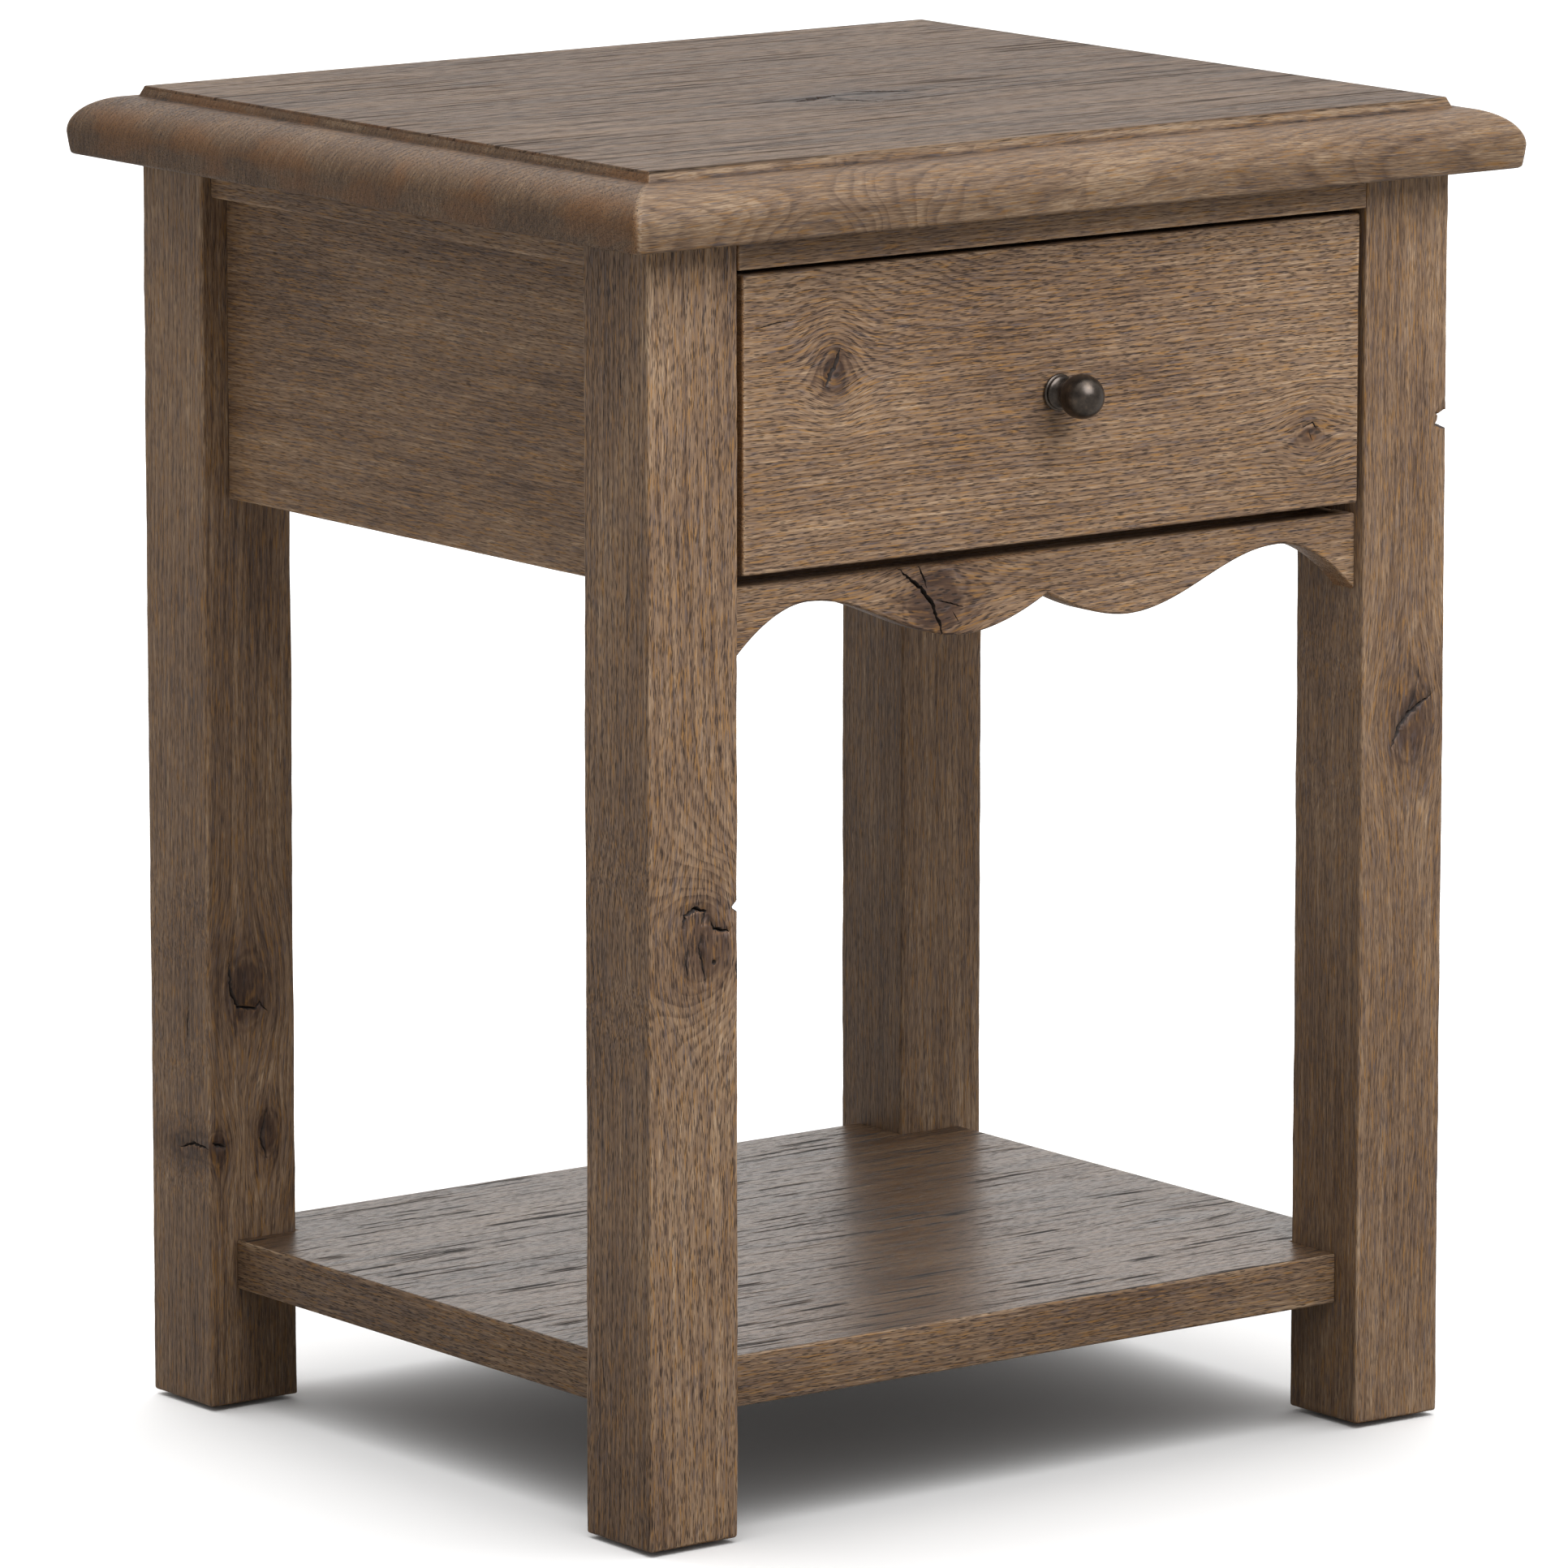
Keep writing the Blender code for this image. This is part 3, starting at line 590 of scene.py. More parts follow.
def chip_mesh(bm, centre, size):
    """Adds a rough lump that breaks a bite out of an arris."""
    made = bmesh.ops.create_icosphere(bm, subdivisions=2, radius=1.0)
    for vertex in made["verts"]:
        rough = 1.0 + 0.35 * noise.noise(vertex.co * 2.3 + Vector(centre) * 50)
        vertex.co = Vector(centre) + Vector([vertex.co[i] * size[i] * rough for i in range(3)])


def carve(piece, draw):
    """Cuts what draw adds to a mesh out of the piece, and lines the cut with near-black wood as painted
    shade.
    """
    bm = bmesh.new()
    draw(bm)
    cutter = add_piece(f"{piece.name}_cutter", bm, [CRACK_SHADE])
    piece.data.materials.append(CRACK_SHADE)
    cut = piece.modifiers.new("cracks", "BOOLEAN")
    cut.operation = "DIFFERENCE"
    cut.solver = "EXACT"
    cut.use_self = True
    cut.material_mode = "TRANSFER"
    cut.object = cutter
    graph = bpy.context.evaluated_depsgraph_get()
    mesh = bpy.data.meshes.new_from_object(piece.evaluated_get(graph))
    piece.modifiers.clear()
    old = piece.data
    piece.data = mesh
    mesh.name = piece.name
    bpy.data.meshes.remove(old)
    bpy.data.objects.remove(cutter)


def carve_cracks(piece, cracks=(), chips=(), seed=1):
    """cracks are (path in metres, face normal, width, depth); chips are (centre, size)."""
    random.seed(seed)

    def draw(bm):
        for path, normal, width, depth in cracks:
            crack_mesh(bm, path, normal, width, depth)
        for centre, size in chips:
            chip_mesh(bm, centre, size)

    carve(piece, draw)


def place_piece(piece, node, body):
    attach(piece, body)
    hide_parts(node)


def front_path(y, *points):
    """A crack's path on a face towards -Y or +Y, from places (x, z) in millimetres."""
    return [(x / 1000, y, z / 1000) for x, z in points]


def side_path(x, *points):
    """A crack's path on a face towards -X, from places (y, z) in millimetres."""
    return [(x, y / 1000, z / 1000) for y, z in points]


def top_path(z, *points):
    """A crack's path on a level face, from places (x, y) in millimetres."""
    return [(x / 1000, y / 1000, z) for x, y in points]


# ---------------------------------------------------------------- table


LEG_KNOTS = {
    "front_left": [((0.291, -0.209, -0.211), (0.020, 0.015, 0.05), 0.55, 0.036, 0.8)],
    "front_right": [((0.352, 0.221, -0.211), (0.021, 0.012, 0.05), 0.8, 0.012, 0.75)],
    "rear_left": [((0.210, -0.219, 0.159), (0.020, 0.012, 0.05), 0.7, 0.006, 0.85),
                  ((0.133, -0.237, 0.159), (0.009, 0.006, 0.05), 0.8, 0.004, 1.0),
                  ((0.137, -0.209, 0.159), (0.013, 0.007, 0.05), 0.8, 0.004, 1.0)],
    "rear_right": [((0.44, 0.22, 0.211), (0.014, 0.009, 0.04), 0.8, 0.005, 0.8)],
}
LEG_CRACKS = {
    "front_left": [
        (front_path(LEG_FRONT, (-223, 301), (-222, 307), (-216, 310), (-210, 308), (-212, 302)),
         FRONT, 0.0024, 0.004),
        (front_path(LEG_FRONT, (-207, 303), (-205, 299), (-196, 297)), FRONT, 0.0019, 0.004),
        (front_path(LEG_FRONT, (-220, 293), (-221, 284), (-220, 274)), FRONT, 0.0011, 0.002),
        (front_path(LEG_FRONT, (-212, 297), (-214, 291), (-212, 284), (-210, 274)), FRONT, 0.0012, 0.002),
        (front_path(LEG_FRONT, (-192, 283), (-191, 272)), FRONT, 0.0015, 0.003),
        (side_path(LEG_LEFT, (-189, 565), (-189.5, 553)), LEFT, 0.0009, 0.002),
        (side_path(LEG_LEFT, (-172, 92), (-175, 71)), LEFT, 0.0007, 0.0015),
    ],
    "front_right": [
        (front_path(LEG_FRONT, (234, 365), (225, 360), (218, 356), (213, 350), (209, 341)),
         FRONT, 0.0024, 0.004),
        (front_path(LEG_FRONT, (218, 356), (223, 364), (225, 372)), FRONT, 0.0009, 0.002),
        (front_path(LEG_FRONT, (226, 380), (226, 373)), FRONT, 0.0007, 0.002),
        (front_path(LEG_FRONT, (235, 505), (239, 503), (243.5, 501)), FRONT, 0.0014, 0.005),
    ],
    "rear_left": [
        (front_path(REAR_LEG_FRONT, (-230, 227), (-229, 212), (-225, 204), (-214, 202), (-212, 205),
                    (-207, 200)), FRONT, 0.0020, 0.003),
        (front_path(REAR_LEG_FRONT, (-241, 137), (-233, 134)), FRONT, 0.0022, 0.003),
        (front_path(REAR_LEG_FRONT, (-209, 148), (-212, 136), (-208, 125)), FRONT, 0.0013, 0.002),
        (side_path(LEG_LEFT, (185, 131), (174, 135), (160, 134)), LEFT, 0.0018, 0.0025),
        (side_path(LEG_LEFT, (177, 202), (178, 187)), LEFT, 0.0012, 0.002),
    ],
    "rear_right": [
        (front_path(REAR_LEG_BACK, (214, 452), (221, 443), (223, 430)), BACK, 0.0011, 0.003),
    ],
}
LEG_CHIPS = {
    "front_left": [((-0.1896, -0.2112, 0.3085), (0.0044, 0.0075, 0.0030)),
                   ((-0.205, -0.2112, 0.283), (0.0013, 0.002, 0.0015))],
    "front_right": [((0.2440, -0.2115, 0.5015), (0.0088, 0.0165, 0.0054)),
                    ((0.2428, -0.2112, 0.511), (0.0012, 0.003, 0.003))],
    "rear_left": [],
    "rear_right": [((0.2428, 0.2112, 0.18), (0.0018, 0.003, 0.004))],
}
# Painted shade of the stain, darker on the legs that the table shades, the rear right most; strength of the
# rings and how far the pores show, for each leg
LEG_LOOKS = {
    "front_left": (1.0, 0.14, 1.0),
    "front_right": (0.96, 0.07, 0.6),
    "rear_left": (0.95, 0.12, 0.6),
    "rear_right": (0.84, 0.10, 0.6),
}
PITH_ASIDE = 0.11
PITH_BEHIND = 0.17


def add_legs():
    """Four square legs, each sawn with its pith beyond the corner that faces the middle of the table."""
    for number, (corner, (shade, figure, pores)) in enumerate(LEG_LOOKS.items()):
        end, side = corner.split("_")
        node = f"leg_{end}_{side}"
        low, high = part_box(node)
        middle = (low + high) / 2
        aside = -PITH_ASIDE if side == "right" else PITH_ASIDE
        behind = PITH_BEHIND if end == "front" else -PITH_BEHIND
        pith = (0, middle.x + aside, middle.y + behind)
        # Painted shade: each leg's stain is darkened by its share from LEG_LOOKS.
        stain = [shade * part for part in STAIN]
        # Each leg is also darkened towards the floor, as painted shade.
        wood = oak(f"oak_{node}", "ZXY", pith, 0.0031, 0.02, LEG_KNOTS[corner], (low, high), tint=stain,
                   figure=figure, pores=pores, painted_floor_shade=0.88, seed=10 + number)
        leg = add_piece(f"{node}_wood", board_mesh(low, high, LEG_ARRIS), [wood])
        carve_cracks(leg, LEG_CRACKS[corner], LEG_CHIPS[corner], seed=20 + number)
        place_piece(leg, node, "table")


def edge_profile(low, high, outset):
    """(outset, height, wear) down the top's moulded edge.

    In order: eased arris of the field, sloping step, crease, thumbnail, nose and its eased lower arris.
    The third value is above 0 where the stain is lightened and below 0 where it is darkened. The eased
    arrises and the nose are lightened where handling has worn them; the sloping step is lightened as painted
    light, and the crease and the top of the thumbnail are darkened as painted shade.
    """
    points = []
    for i in range(4):
        angle = math.pi / 2 * i / 3 * 0.75
        points.append((0.0001 + 0.0008 * math.sin(angle), high - 0.0008 * (1 - math.cos(angle)), 1.2 * i / 3))
    # Step lightened as painted light, then a crease darkened as painted shade.
    points += [(0.0013, high - 0.0014, 1.3), (0.0021, high - 0.0031, 1.2), (0.0025, high - 0.0041, -0.6)]
    points += [(0.0029, high - 0.0050, -2.6), (0.0035, high - 0.0054, -2.8), (0.0042, high - 0.0052, -1.8)]
    reach, fall = outset - 0.0048, 0.0178
    for i in range(21):
        angle = math.pi / 2 * i / 20
        # The thumbnail starts darkened as painted shade below the crease and grows lighter towards the worn
        # nose.
        wear_and_light_here = -1.0 + 1.5 * min(1.0, i / 11)
        points.append((0.0048 + reach * math.sin(angle), high - 0.0230 + fall * math.cos(angle), wear_and_light_here))
    nose = outset - 0.0012
    points.append((outset - 0.0006, low + 0.0062, 0.4))
    for i in range(5):
        angle = math.pi / 2 * i / 4
        points.append((nose - 0.0022 * (1 - math.cos(angle)), low + 0.0022 * (1 - math.sin(angle)), 0.5))
    return points


def plan_ring(half_x, half_y, corner):
    """(place, on a long side, on a corner) round a rectangle with rounded corners.

    It gives the same number of places whatever the size, so that rings join one to the next.
    """
    points = []
    sides = [((half_x, -half_y), (half_x, half_y)), ((half_x, half_y), (-half_x, half_y)),
             ((-half_x, half_y), (-half_x, -half_y)), ((-half_x, -half_y), (half_x, -half_y))]
    for number, (start, stop) in enumerate(sides):
        start, stop = Vector(start), Vector(stop)
        along = (stop - start).normalized()
        first, last = start + along * corner, stop - along * corner
        count = round((TOP_DEPTH if number % 2 == 0 else TOP_WIDTH) / TOP_STEP)
        points += [(first.lerp(last, i / count), number % 2, 0) for i in range(count + 1)]
        turn = Vector((-along.y, along.x))
        centre = last + turn * corner
        for i in range(1, 4):
            angle = math.pi / 2 * i / 4
            points.append((centre - turn * corner * math.cos(angle) + along * corner * math.sin(angle), 1, 1))
    return points


def top_mesh(low, high):
    """The tabletop as rings down its moulded edge, each vertex holding how worn it is and how much painted
    light and shade it carries.
    """
    field_x, field_y = high.x - TOP_OUTSET, high.y - TOP_OUTSET
    bm = bmesh.new()
    rings = []
    wear_and_painted_light = bm.verts.layers.float.new("wear_and_painted_light")
    for out, height, wear_and_light_here in edge_profile(low.z, high.z, TOP_OUTSET):
        corner = 0.0009 + 0.10 * out
        ring = []
        for (x, y), on_long, on_corner in plan_ring(field_x + out, field_y + out, corner):
            point = Vector((x, y, height))
            if out > 0.001:
                inward = Vector((-x, -y, 0)).normalized()
                point += inward * 0.00025 * (0.5 + 0.5 * noise.noise(point * 14.0))
            vertex = bm.verts.new(point)
            patchy = 0.75 + 0.9 * noise.noise(point * 45.0)
            # Painted light and shade: the long front and back sides lighter, the ends darker, as the light
            # falls.
            side_light_and_shade = (0.6 * on_long - 0.3) * min(1.0, out / 0.001)
            vertex[wear_and_painted_light] = wear_and_light_here * patchy + side_light_and_shade + on_corner * 0.8
            ring.append(vertex)
        rings.append(ring)
    for level, (upper, lower) in enumerate(zip(rings, rings[1:])):
        for i in range(len(upper)):
            j = (i + 1) % len(upper)
            face = bm.faces.new((upper[i], upper[j], lower[j], lower[i]))
            middle = (upper[i].co + upper[j].co) / 2
            on_end = abs(middle.x) - high.x > abs(middle.y) - high.y
            if level >= FIELD_LEVELS:
                face.material_index = END_EDGE if on_end else LONG_EDGE
    bm.faces.new(rings[0])
    bm.faces.new(rings[-1])
    return bm


def add_tabletop():
    """The top, its stain darkened as painted shade against the light from overhead, paler and worn, with
    painted light and shade, on its moulded edge.
    """
    low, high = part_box("tabletop")
    knots = [((0.010, -0.036, 0.66), (0.030, 0.014, 0.04), 0.7, 0.006, 0.75)]
    # The field's darkened stain is painted shade.
    field = oak("oak_tabletop", "XYZ", (0, -0.10, 0.40), 0.0034, 0.02, knots, tint=TOP_STAIN_AND_SHADE, figure=0.14,
                dashes=0.7, dash_scale=WIDE_DASHES, bands=1.1, gloss=0.15, worn_at="wear_and_painted_light", stretch=0.5,
                seed=3)
    swirls = [((-0.158, 0.627, -0.235), (0.018, 0.011, 0.06), 0.2, 0.028, 0.15),
              ((-0.205, 0.625, -0.235), (0.072, 0.090, 0.06), 0.2, 0.062, 0.0),
              ((0.085, 0.600, -0.235), (0.045, 0.050, 0.06), 0.2, 0.028, 0.0)]
    long_edge = oak("oak_top_edge", "XZY", (0, 0.61, -0.42), 0.0046, 0.03, swirls, tint=EDGE_STAIN,
                    figure=0.16, dashes=0.05, pores=0.40, worn_at="wear_and_painted_light", seed=4)
    end_edge = oak("oak_top_end", "XYZ", (0, -0.30, 0.45), 0.0034, 0.02, tint=EDGE_STAIN, figure=0.14,
                   worn_at="wear_and_painted_light", seed=5)
    top = add_piece("tabletop_wood", top_mesh(low, high), [field, long_edge, end_edge])
    cracks = [
        (top_path(high.z, (-26, -37), (-10, -31), (6, -27)), UP, 0.0060, 0.005),
        (top_path(high.z, (-9, -41), (2, -48), (8, -60)), UP, 0.0034, 0.004),
        (top_path(high.z, (22, -19), (34, -27), (48, -36)), UP, 0.0044, 0.004),
    ]
    carve_cracks(top, cracks, seed=40)
    place_piece(top, "tabletop", "table")


def scallop(half, top):
    """Lower edge of the apron's right half, finely divided, from the cusp to the tip at the leg."""
    cusp, wave, tip = [], [], []
    for i in range(SCALLOP_STEPS):
        u = i / SCALLOP_STEPS
        cusp.append((u * 0.050, top - 0.036 + 0.015 * (1 - u) ** 1.8))
        wave.append((0.050 + u * 0.093, top - 0.0235 - 0.0125 * math.cos(math.pi * u)))
        tip.append((0.143 + u * (half - 0.143), top - 0.011 - 0.0265 * u ** 1.9))
    return cusp + wave + tip + [(half, top - 0.0375)]


def add_apron():
    """The scalloped apron under the drawer, swept from front to back with eased edges."""
    low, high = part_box("apron")
    right = scallop(high.x, high.z)
    left = [(-x, z) for x, z in reversed(right[1:])]
    lower = left + right
    bm = bmesh.new()
    ease = APRON_ARRIS
    sections = [(low.y, ease), (low.y + ease * 0.3, ease * 0.3), (low.y + ease, 0.0),
                (high.y - ease, 0.0), (high.y - ease * 0.3, ease * 0.3), (high.y, ease)]
    rings = []
    for y, inset in sections:
        ring = [bm.verts.new((x, y, z + inset)) for x, z in lower]
        ring += [bm.verts.new((x, y, high.z - inset)) for x in (high.x, low.x)]
        rings.append(ring)
    for near, far in zip(rings, rings[1:]):
        for i in range(len(near)):
            j = (i + 1) % len(near)
            bm.faces.new((near[i], near[j], far[j], far[i]))
    for ring in (rings[0], rings[-1]):
        bm.faces.new(ring)
    knots = [((-0.067, 0.441, -0.2035), (0.019, 0.017, 0.05), 0.7, 0.012, 1.0)]
    wood = oak("oak_apron", "XZY", (0, 0.40, -0.16), 0.0030, 0.05, knots, seed=5)
    apron = add_piece("apron_wood", bm, [wood])
    cracks = [
        (front_path(low.y, (-91, 459), (-83, 452), (-76, 447), (-70, 439), (-65, 428), (-63, 421)),
         FRONT, 0.0022, 0.006),
        (front_path(low.y, (-79, 460), (-75, 452), (-73, 447)), FRONT, 0.0011, 0.003),
        (front_path(low.y, (-68, 441), (-60, 439), (-51, 436)), FRONT, 0.0008, 0.0025),
        (front_path(low.y, (-58, 435), (-54, 429)), FRONT, 0.0006, 0.002),
    ]
    carve_cracks(apron, cracks, seed=50)
    place_piece(apron, "apron", "table")


def add_shelf():
    """The lower shelf, notched round the four legs."""
    low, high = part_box("shelf")
    leg_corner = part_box("leg_front_left")[1]
    notch_x, notch_y = -leg_corner.x - GAP, -leg_corner.y - GAP
    x, y = high.x, high.y
    quarter = [(x, notch_y), (notch_x, notch_y), (notch_x, y)]
    outline = quarter + [(-a, b) for a, b in reversed(quarter)]
    outline += [(-a, -b) for a, b in quarter] + [(a, -b) for a, b in reversed(quarter)]
    bm = bmesh.new()
    bottom = bm.faces.new([bm.verts.new((a, b, low.z)) for a, b in outline])
    grown = bmesh.ops.extrude_face_region(bm, geom=[bottom])
    verts = [v for v in grown["geom"] if isinstance(v, bmesh.types.BMVert)]
    bmesh.ops.translate(bm, vec=(0, 0, high.z - low.z), verts=verts)
    bmesh.ops.recalc_face_normals(bm, faces=bm.faces)
    bmesh.ops.bevel(bm, geom=bm.edges, offset=SHELF_ARRIS, segments=3, profile=0.5, affect="EDGES")
    knots = [((0.168, -0.084, 0.0863), (0.016, 0.008, 0.05), 0.7, 0.004, 0.5)]
    # The shelf's darkened top stain is painted shade.
    wood = oak("oak_shelf", "XYZ", (0, 0.02, -0.15), 0.0034, -0.02, knots, (low, high), tint=SHELF_STAIN_AND_SHADE,
               figure=0.14, dashes=1.0, dash_scale=WIDE_DASHES, bands=0.9, shine=0.18, gloss=0.35, seed=8)
    # The shelf's front and ends are darkened towards the floor, as painted shade.
    front = oak("oak_shelf_front", "XZY", (0, 0.30, -0.15), 0.0028, box=(low, high), figure=0.12, dashes=0.3,
                painted_floor_shade=0.75, seed=9)
    side = oak("oak_shelf_side", "YZX", (0, 0.30, -0.15), 0.0028, box=(low, high), figure=0.10, painted_floor_shade=0.75,
               seed=10)
    for face in bm.faces:
        if abs(face.normal.z) < 0.9:
            face.material_index = LONG_EDGE if abs(face.normal.y) > abs(face.normal.x) else END_EDGE
    shelf = add_piece("shelf_wood", bm, [wood, front, side])
    cracks = [(top_path(high.z, (160, -84), (168, -83), (176, -86)), UP, 0.0012, 0.002)]
    carve_cracks(shelf, cracks, seed=60)
    place_piece(shelf, "shelf", "table")


def add_drawer_front():
    """One board, with a split knot, a small knot low on the right and figure that swells above them."""
    low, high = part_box("drawer_front")
    knots = [((-0.133, 0.558, -0.210), (0.0078, 0.0095, 0.05), 0.9, 0.012, 0.85),
             ((0.157, 0.501, -0.210), (0.009, 0.007, 0.05), 0.85, 0.006, 0.6),
             ((-0.165, 0.622, -0.210), (0.058, 0.022, 0.05), 0.0, 0.036, 0.0)]
    wood = oak("oak_drawer_front", "XZY", (0, 0.80, -0.19), 0.0027, 0.02, knots, (low, high), figure=0.20,
               bands=0.25, seed=12)
    front = add_piece("drawer_front_wood", board_mesh(low, high, DRAWER_ARRIS), [wood])
    y = low.y
    cracks = [
        (front_path(y, (-130, 567), (-133, 560), (-139, 551)), FRONT, 0.0028, 0.004),
        (front_path(y, (-180, 581), (-168, 583), (-156, 584)), FRONT, 0.0006, 0.0015),
        (front_path(y, (152, 505), (158, 507), (161, 503)), FRONT, 0.0008, 0.002),
        (front_path(y, (156, 502), (158, 498)), FRONT, 0.0008, 0.002),
    ]
    carve_cracks(front, cracks, seed=70)
    place_piece(front, "drawer_front", "drawer")


def add_plain_boards():
    """Rails and panels, each as (node, grain axes, pith, pitch, tilt, knots)."""
    boards = [
        ("front_rail", "XZY", (0, 0.70, -0.17), 0.0022, 0.0, []),
        ("back_rail", "XZY", (0, 0.70, 0.17), 0.0024, 0.0, []),
        ("side_rail_left", "YZX", (0, 0.70, -0.20), 0.0024, 0.0, []),
        ("side_rail_right", "YZX", (0, 0.70, 0.20), 0.0024, 0.0, []),
        ("side_panel_left", "YZX", (0, 0.80, -0.16), 0.0021, 0.0, []),
        ("side_panel_right", "YZX", (0, 0.47, 0.19), 0.0028, 0.05,
         [((0.06, 0.50, 0.228), (0.010, 0.007, 0.04), 0.8, 0.004, 0.7)]),
        ("back_panel", "XZY", (0, 0.50, 0.16), 0.0034, 0.06,
         [((0.09, 0.56, 0.1965), (0.011, 0.008, 0.04), 0.8, 0.004, 0.7)]),
        ("drawer_rail", "XYZ", (0, 0.0, 0.40), 0.0028, 0.0, []),
    ]
    for number, (node, axes, pith, pitch, tilt, knots) in enumerate(boards):
        low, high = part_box(node)
        wood = oak(f"oak_{node}", axes, pith, pitch, tilt, knots, (low, high), figure=0.08, pores=0.6,
                   dashes=0.0, bands=0.2, seed=80 + number)
        board = add_piece(f"{node}_wood", board_mesh(low, high, RAIL_ARRIS), [wood])
        place_piece(board, node, "table")


def knob_profile():
    """(radius, reach) of a turned knob: collar, bead, waisted neck and ball."""
    start = math.asin(NECK_RADIUS / BALL_RADIUS)
    neck_end = BALL_REACH - BALL_RADIUS * math.cos(start)
    profile = [(0.0, 0.0004), (0.0086, 0.0004), (0.0089, 0.0007), (0.0090, 0.0013), (0.0087, 0.0017),
               (0.0081, 0.0019)]
    for i in range(7):
        angle = math.pi * i / 6
        profile.append((0.0075 + 0.0007 * math.sin(angle), 0.0029 - 0.0008 * math.cos(angle)))
    for i in range(1, 9):
        u = i / 8
        profile.append((NECK_RADIUS + 0.0026 * (1 - u) ** 2.0, NECK_START + (neck_end - NECK_START) * u))
    for i in range(1, 24):
        angle = start + (math.pi - start) * i / 24
        profile.append((BALL_RADIUS * math.sin(angle), BALL_REACH - BALL_RADIUS * math.cos(angle)))
    return profile + [(0.0, BALL_REACH + BALL_RADIUS)]


def add_knob():
    """The knob's profile turned about its axis, which runs towards the front."""
    low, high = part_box("knob")
    centre_x, centre_z = (low.x + high.x) / 2, (low.z + high.z) / 2
    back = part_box("drawer_front")[0].y - GAP
    bm = bmesh.new()
    rings = []
    for radius, reach in knob_profile():
        ring = []
        for i in range(KNOB_SEGMENTS if radius else 1):
            angle = math.tau * i / KNOB_SEGMENTS
            ring.append(bm.verts.new((centre_x + radius * math.cos(angle), back - reach,
                                      centre_z + radius * math.sin(angle))))
        rings.append(ring)
    for near, far in zip(rings, rings[1:]):
        for i in range(KNOB_SEGMENTS):
            j = (i + 1) % KNOB_SEGMENTS
            if len(near) == 1:
                bm.faces.new((near[0], far[i], far[j]))
            elif len(far) == 1:
                bm.faces.new((near[i], near[j], far[0]))
            else:
                bm.faces.new((near[i], near[j], far[j], far[i]))
    knob = add_piece("knob_bronze", bm, [BRONZE])
    place_piece(knob, "knob", "drawer")


def dress_cad_nodes():
    """Materials for the CAD nodes that show as they are."""
    grains = {"drawer_box_front": "XZY", "drawer_back": "XZY", "drawer_side_left": "YZX",
              "drawer_side_right": "YZX", "drawer_bottom": "XYZ", "slide_batten_left": "YZX",
              "slide_batten_right": "YZX"}
    for number, (node, axes) in enumerate(grains.items()):
        low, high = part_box(node)
        wood = oak(f"oak_{node}", axes, (0, 0.75, 0.05), 0.0028, 0.02, box=(low, high), figure=0.24,
                   tint=BOX_STAIN, seed=120 + number)
        paint(node, wood)
    dowel = oak("oak_dowels", "XYZ", (0, 0.0, 0.02), 0.002, tint=BOX_STAIN, seed=150)
    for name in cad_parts:
        if name.startswith("shelf_dowel"):
            paint(name, dowel)
        elif name.startswith("glide"):
            paint(name, PLASTIC)
        elif "screw" in name or name.startswith("slide_") and "member" in name:
            paint(name, STEEL)


def paint(node, material):
    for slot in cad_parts[node].material_slots:
        slot.material = material


# ---------------------------------------------------------------- stage


def add_floor():
    """A pale floor that looks nearly white and sends less light back up at the table."""
    bm = bmesh.new()
    bmesh.ops.create_grid(bm, x_segments=8, y_segments=8, size=60.0)
    material, net, shader = new_material("studio_floor")
    place = net.add("ShaderNodeTexCoord").outputs["Object"]
    cloud = net.noise(place, 3.0, 2.0).outputs[0]
    pale = net.ramp(cloud, (0.0, (0.97, 0.975, 0.985, 1)), (1.0, (0.985, 0.985, 0.99, 1)))
    seen = net.add("ShaderNodeLightPath").outputs["Is Camera Ray"]
    dimmed = net.mix(1.0, pale, (FLOOR_BOUNCE, FLOOR_BOUNCE, FLOOR_BOUNCE, 1), "MULTIPLY")
    net.feed(shader.inputs["Base Color"], net.mix(seen, dimmed, pale))
    shader.inputs["Roughness"].default_value = 0.9
    shader.inputs["Specular IOR Level"].default_value = 0.0
    floor = add_piece("floor", bm, [material])
    return floor


def direction(azimuth, elevation):
    """Unit vector towards an azimuth, 0 at the front and 90 at the right, and an elevation."""
    a, e = math.radians(azimuth), math.radians(elevation)
    return Vector((math.sin(a) * math.cos(e), -math.cos(a) * math.cos(e), math.sin(e)))


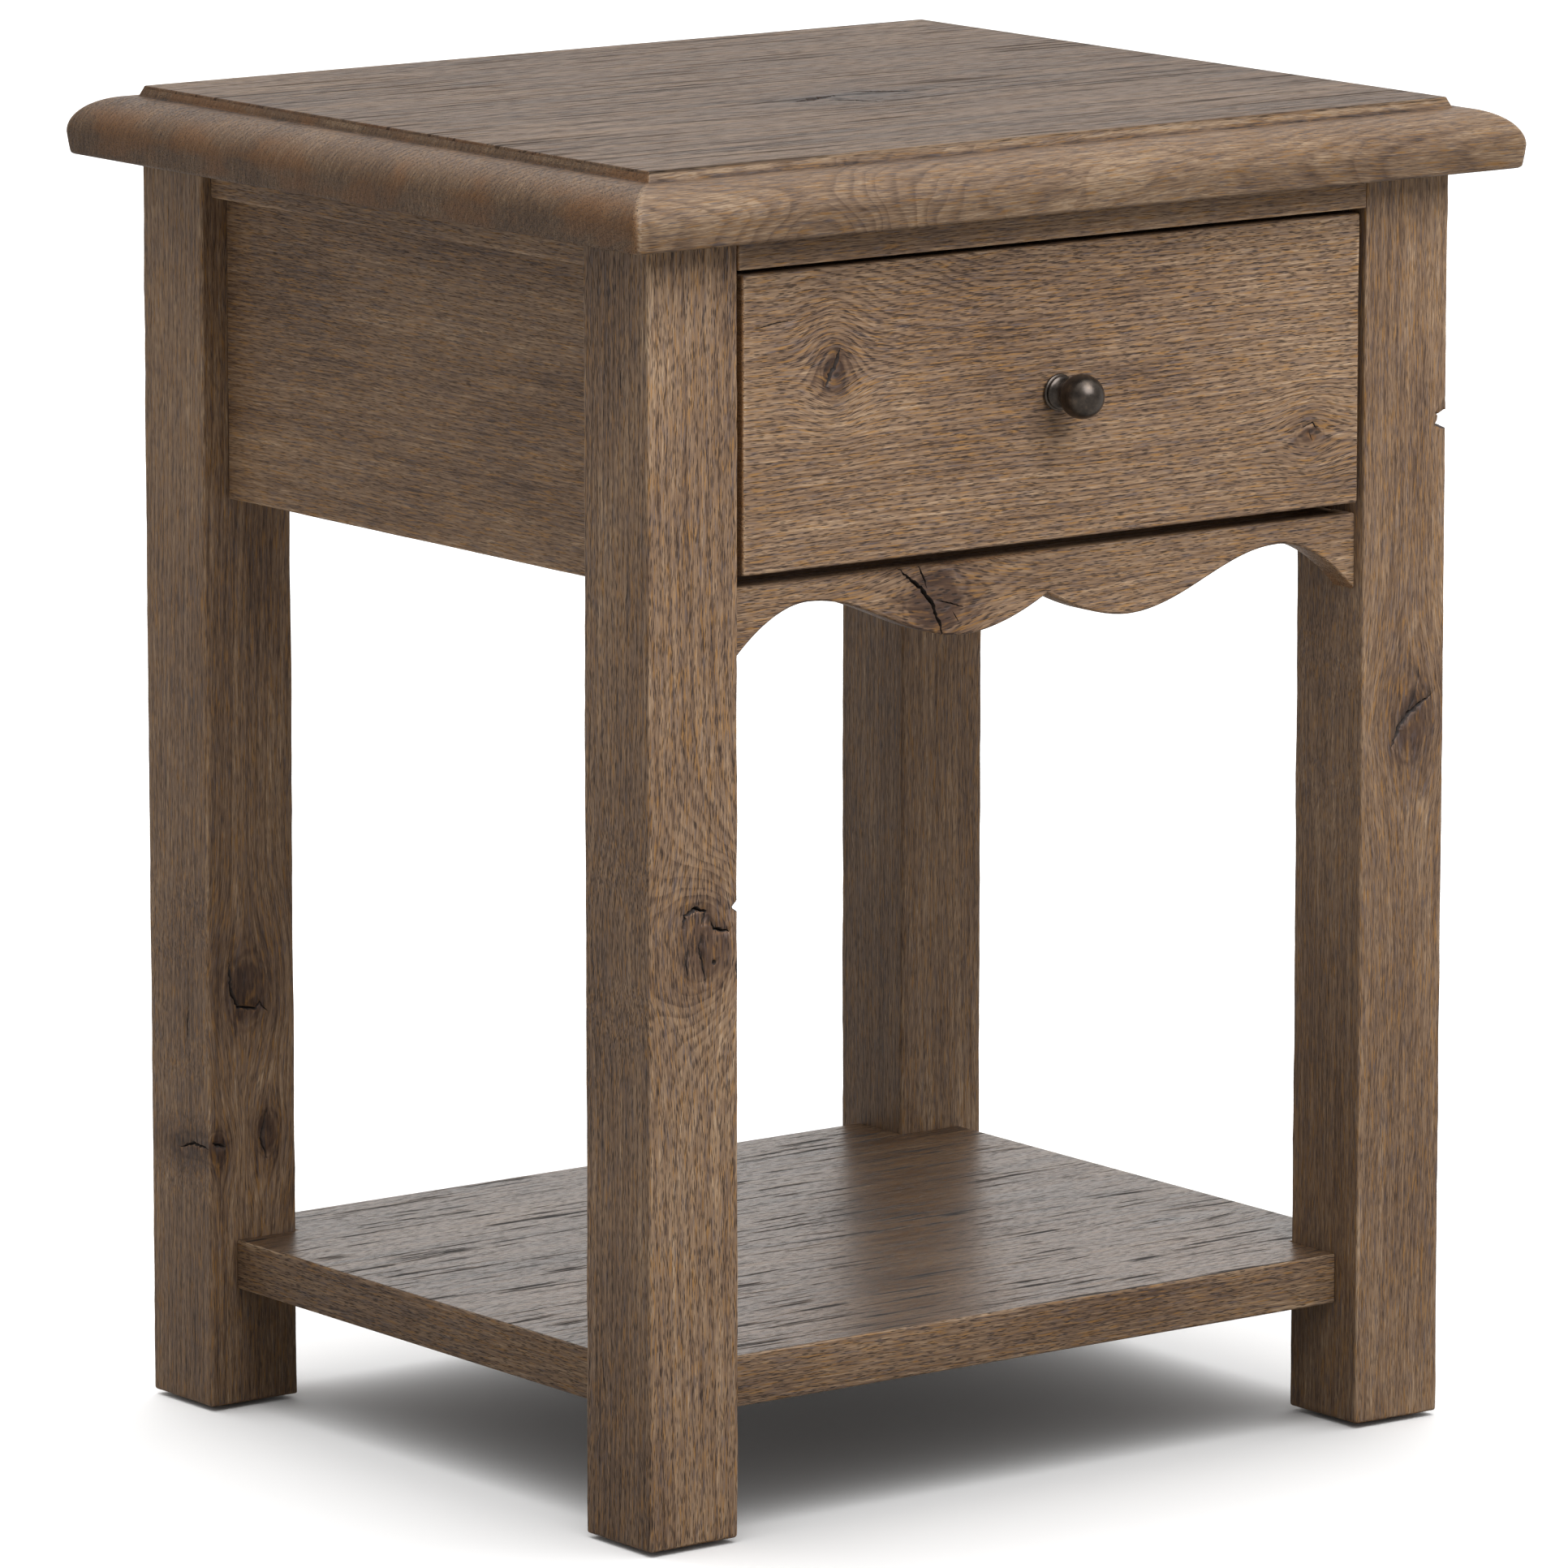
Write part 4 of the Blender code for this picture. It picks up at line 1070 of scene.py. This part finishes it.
def add_light():
    """A world that shines all round, and more strongly from the soft lights."""
    world = bpy.data.worlds.new("studio")
    bpy.context.scene.world = world
    world.use_nodes = True
    net = Net(world.node_tree)
    towards = net.add("ShaderNodeTexCoord").outputs["Generated"]
    light = AMBIENT
    for azimuth, elevation, strength, sharpness in SOFT_LIGHTS:
        facing = net.vector("DOT_PRODUCT", towards, direction(azimuth, elevation))
        lobe = net.math("POWER", net.math("MAXIMUM", facing, 0.0), sharpness)
        light = net.math("ADD", light, net.math("MULTIPLY", lobe, strength))
    net.feed(world.node_tree.nodes["Background"].inputs["Strength"], light)
    world.node_tree.nodes["Background"].inputs["Color"].default_value = SKY_COLOUR


def add_softbox(floor):
    """A large square softbox that lights the table, and leaves the floor to the light overhead."""
    lamp = bpy.data.lights.new("softbox", "AREA")
    lamp.shape = "SQUARE"
    lamp.size = KEY_SIZE
    lamp.energy = KEY_POWER
    lamp.color = KEY_COLOUR
    softbox = bpy.data.objects.new("softbox", lamp)
    towards = direction(KEY_AZIMUTH, KEY_ELEVATION)
    softbox.location = Vector(KEY_AIM) + towards * KEY_DISTANCE
    softbox.rotation_euler = towards.to_track_quat("Z", "Y").to_euler()
    bpy.context.scene.collection.objects.link(softbox)
    unlit = bpy.data.collections.new("not_lit_by_softbox")
    unlit.objects.link(floor)
    unlit.collection_objects[0].light_linking.link_state = "EXCLUDE"
    softbox.light_linking.receiver_collection = unlit


def add_camera():
    camera = bpy.data.objects.new("camera", bpy.data.cameras.new("camera"))
    camera.data.lens = LENS
    camera.data.sensor_width = 36.0
    camera.data.clip_end = 200.0
    towards = direction(VIEW_AZIMUTH, VIEW_ELEVATION)
    camera.location = Vector(VIEW_AIM) + towards * VIEW_DISTANCE
    camera.rotation_euler = towards.to_track_quat("Z", "Y").to_euler()
    bpy.context.scene.collection.objects.link(camera)
    bpy.context.scene.camera = camera


def main():
    add_camera()
    add_light()
    add_softbox(add_floor())
    add_tabletop()
    add_legs()
    add_plain_boards()
    add_apron()
    add_shelf()
    add_drawer_front()
    add_knob()
    dress_cad_nodes()
    bpy.context.scene.view_settings.view_transform = "Standard"


main()
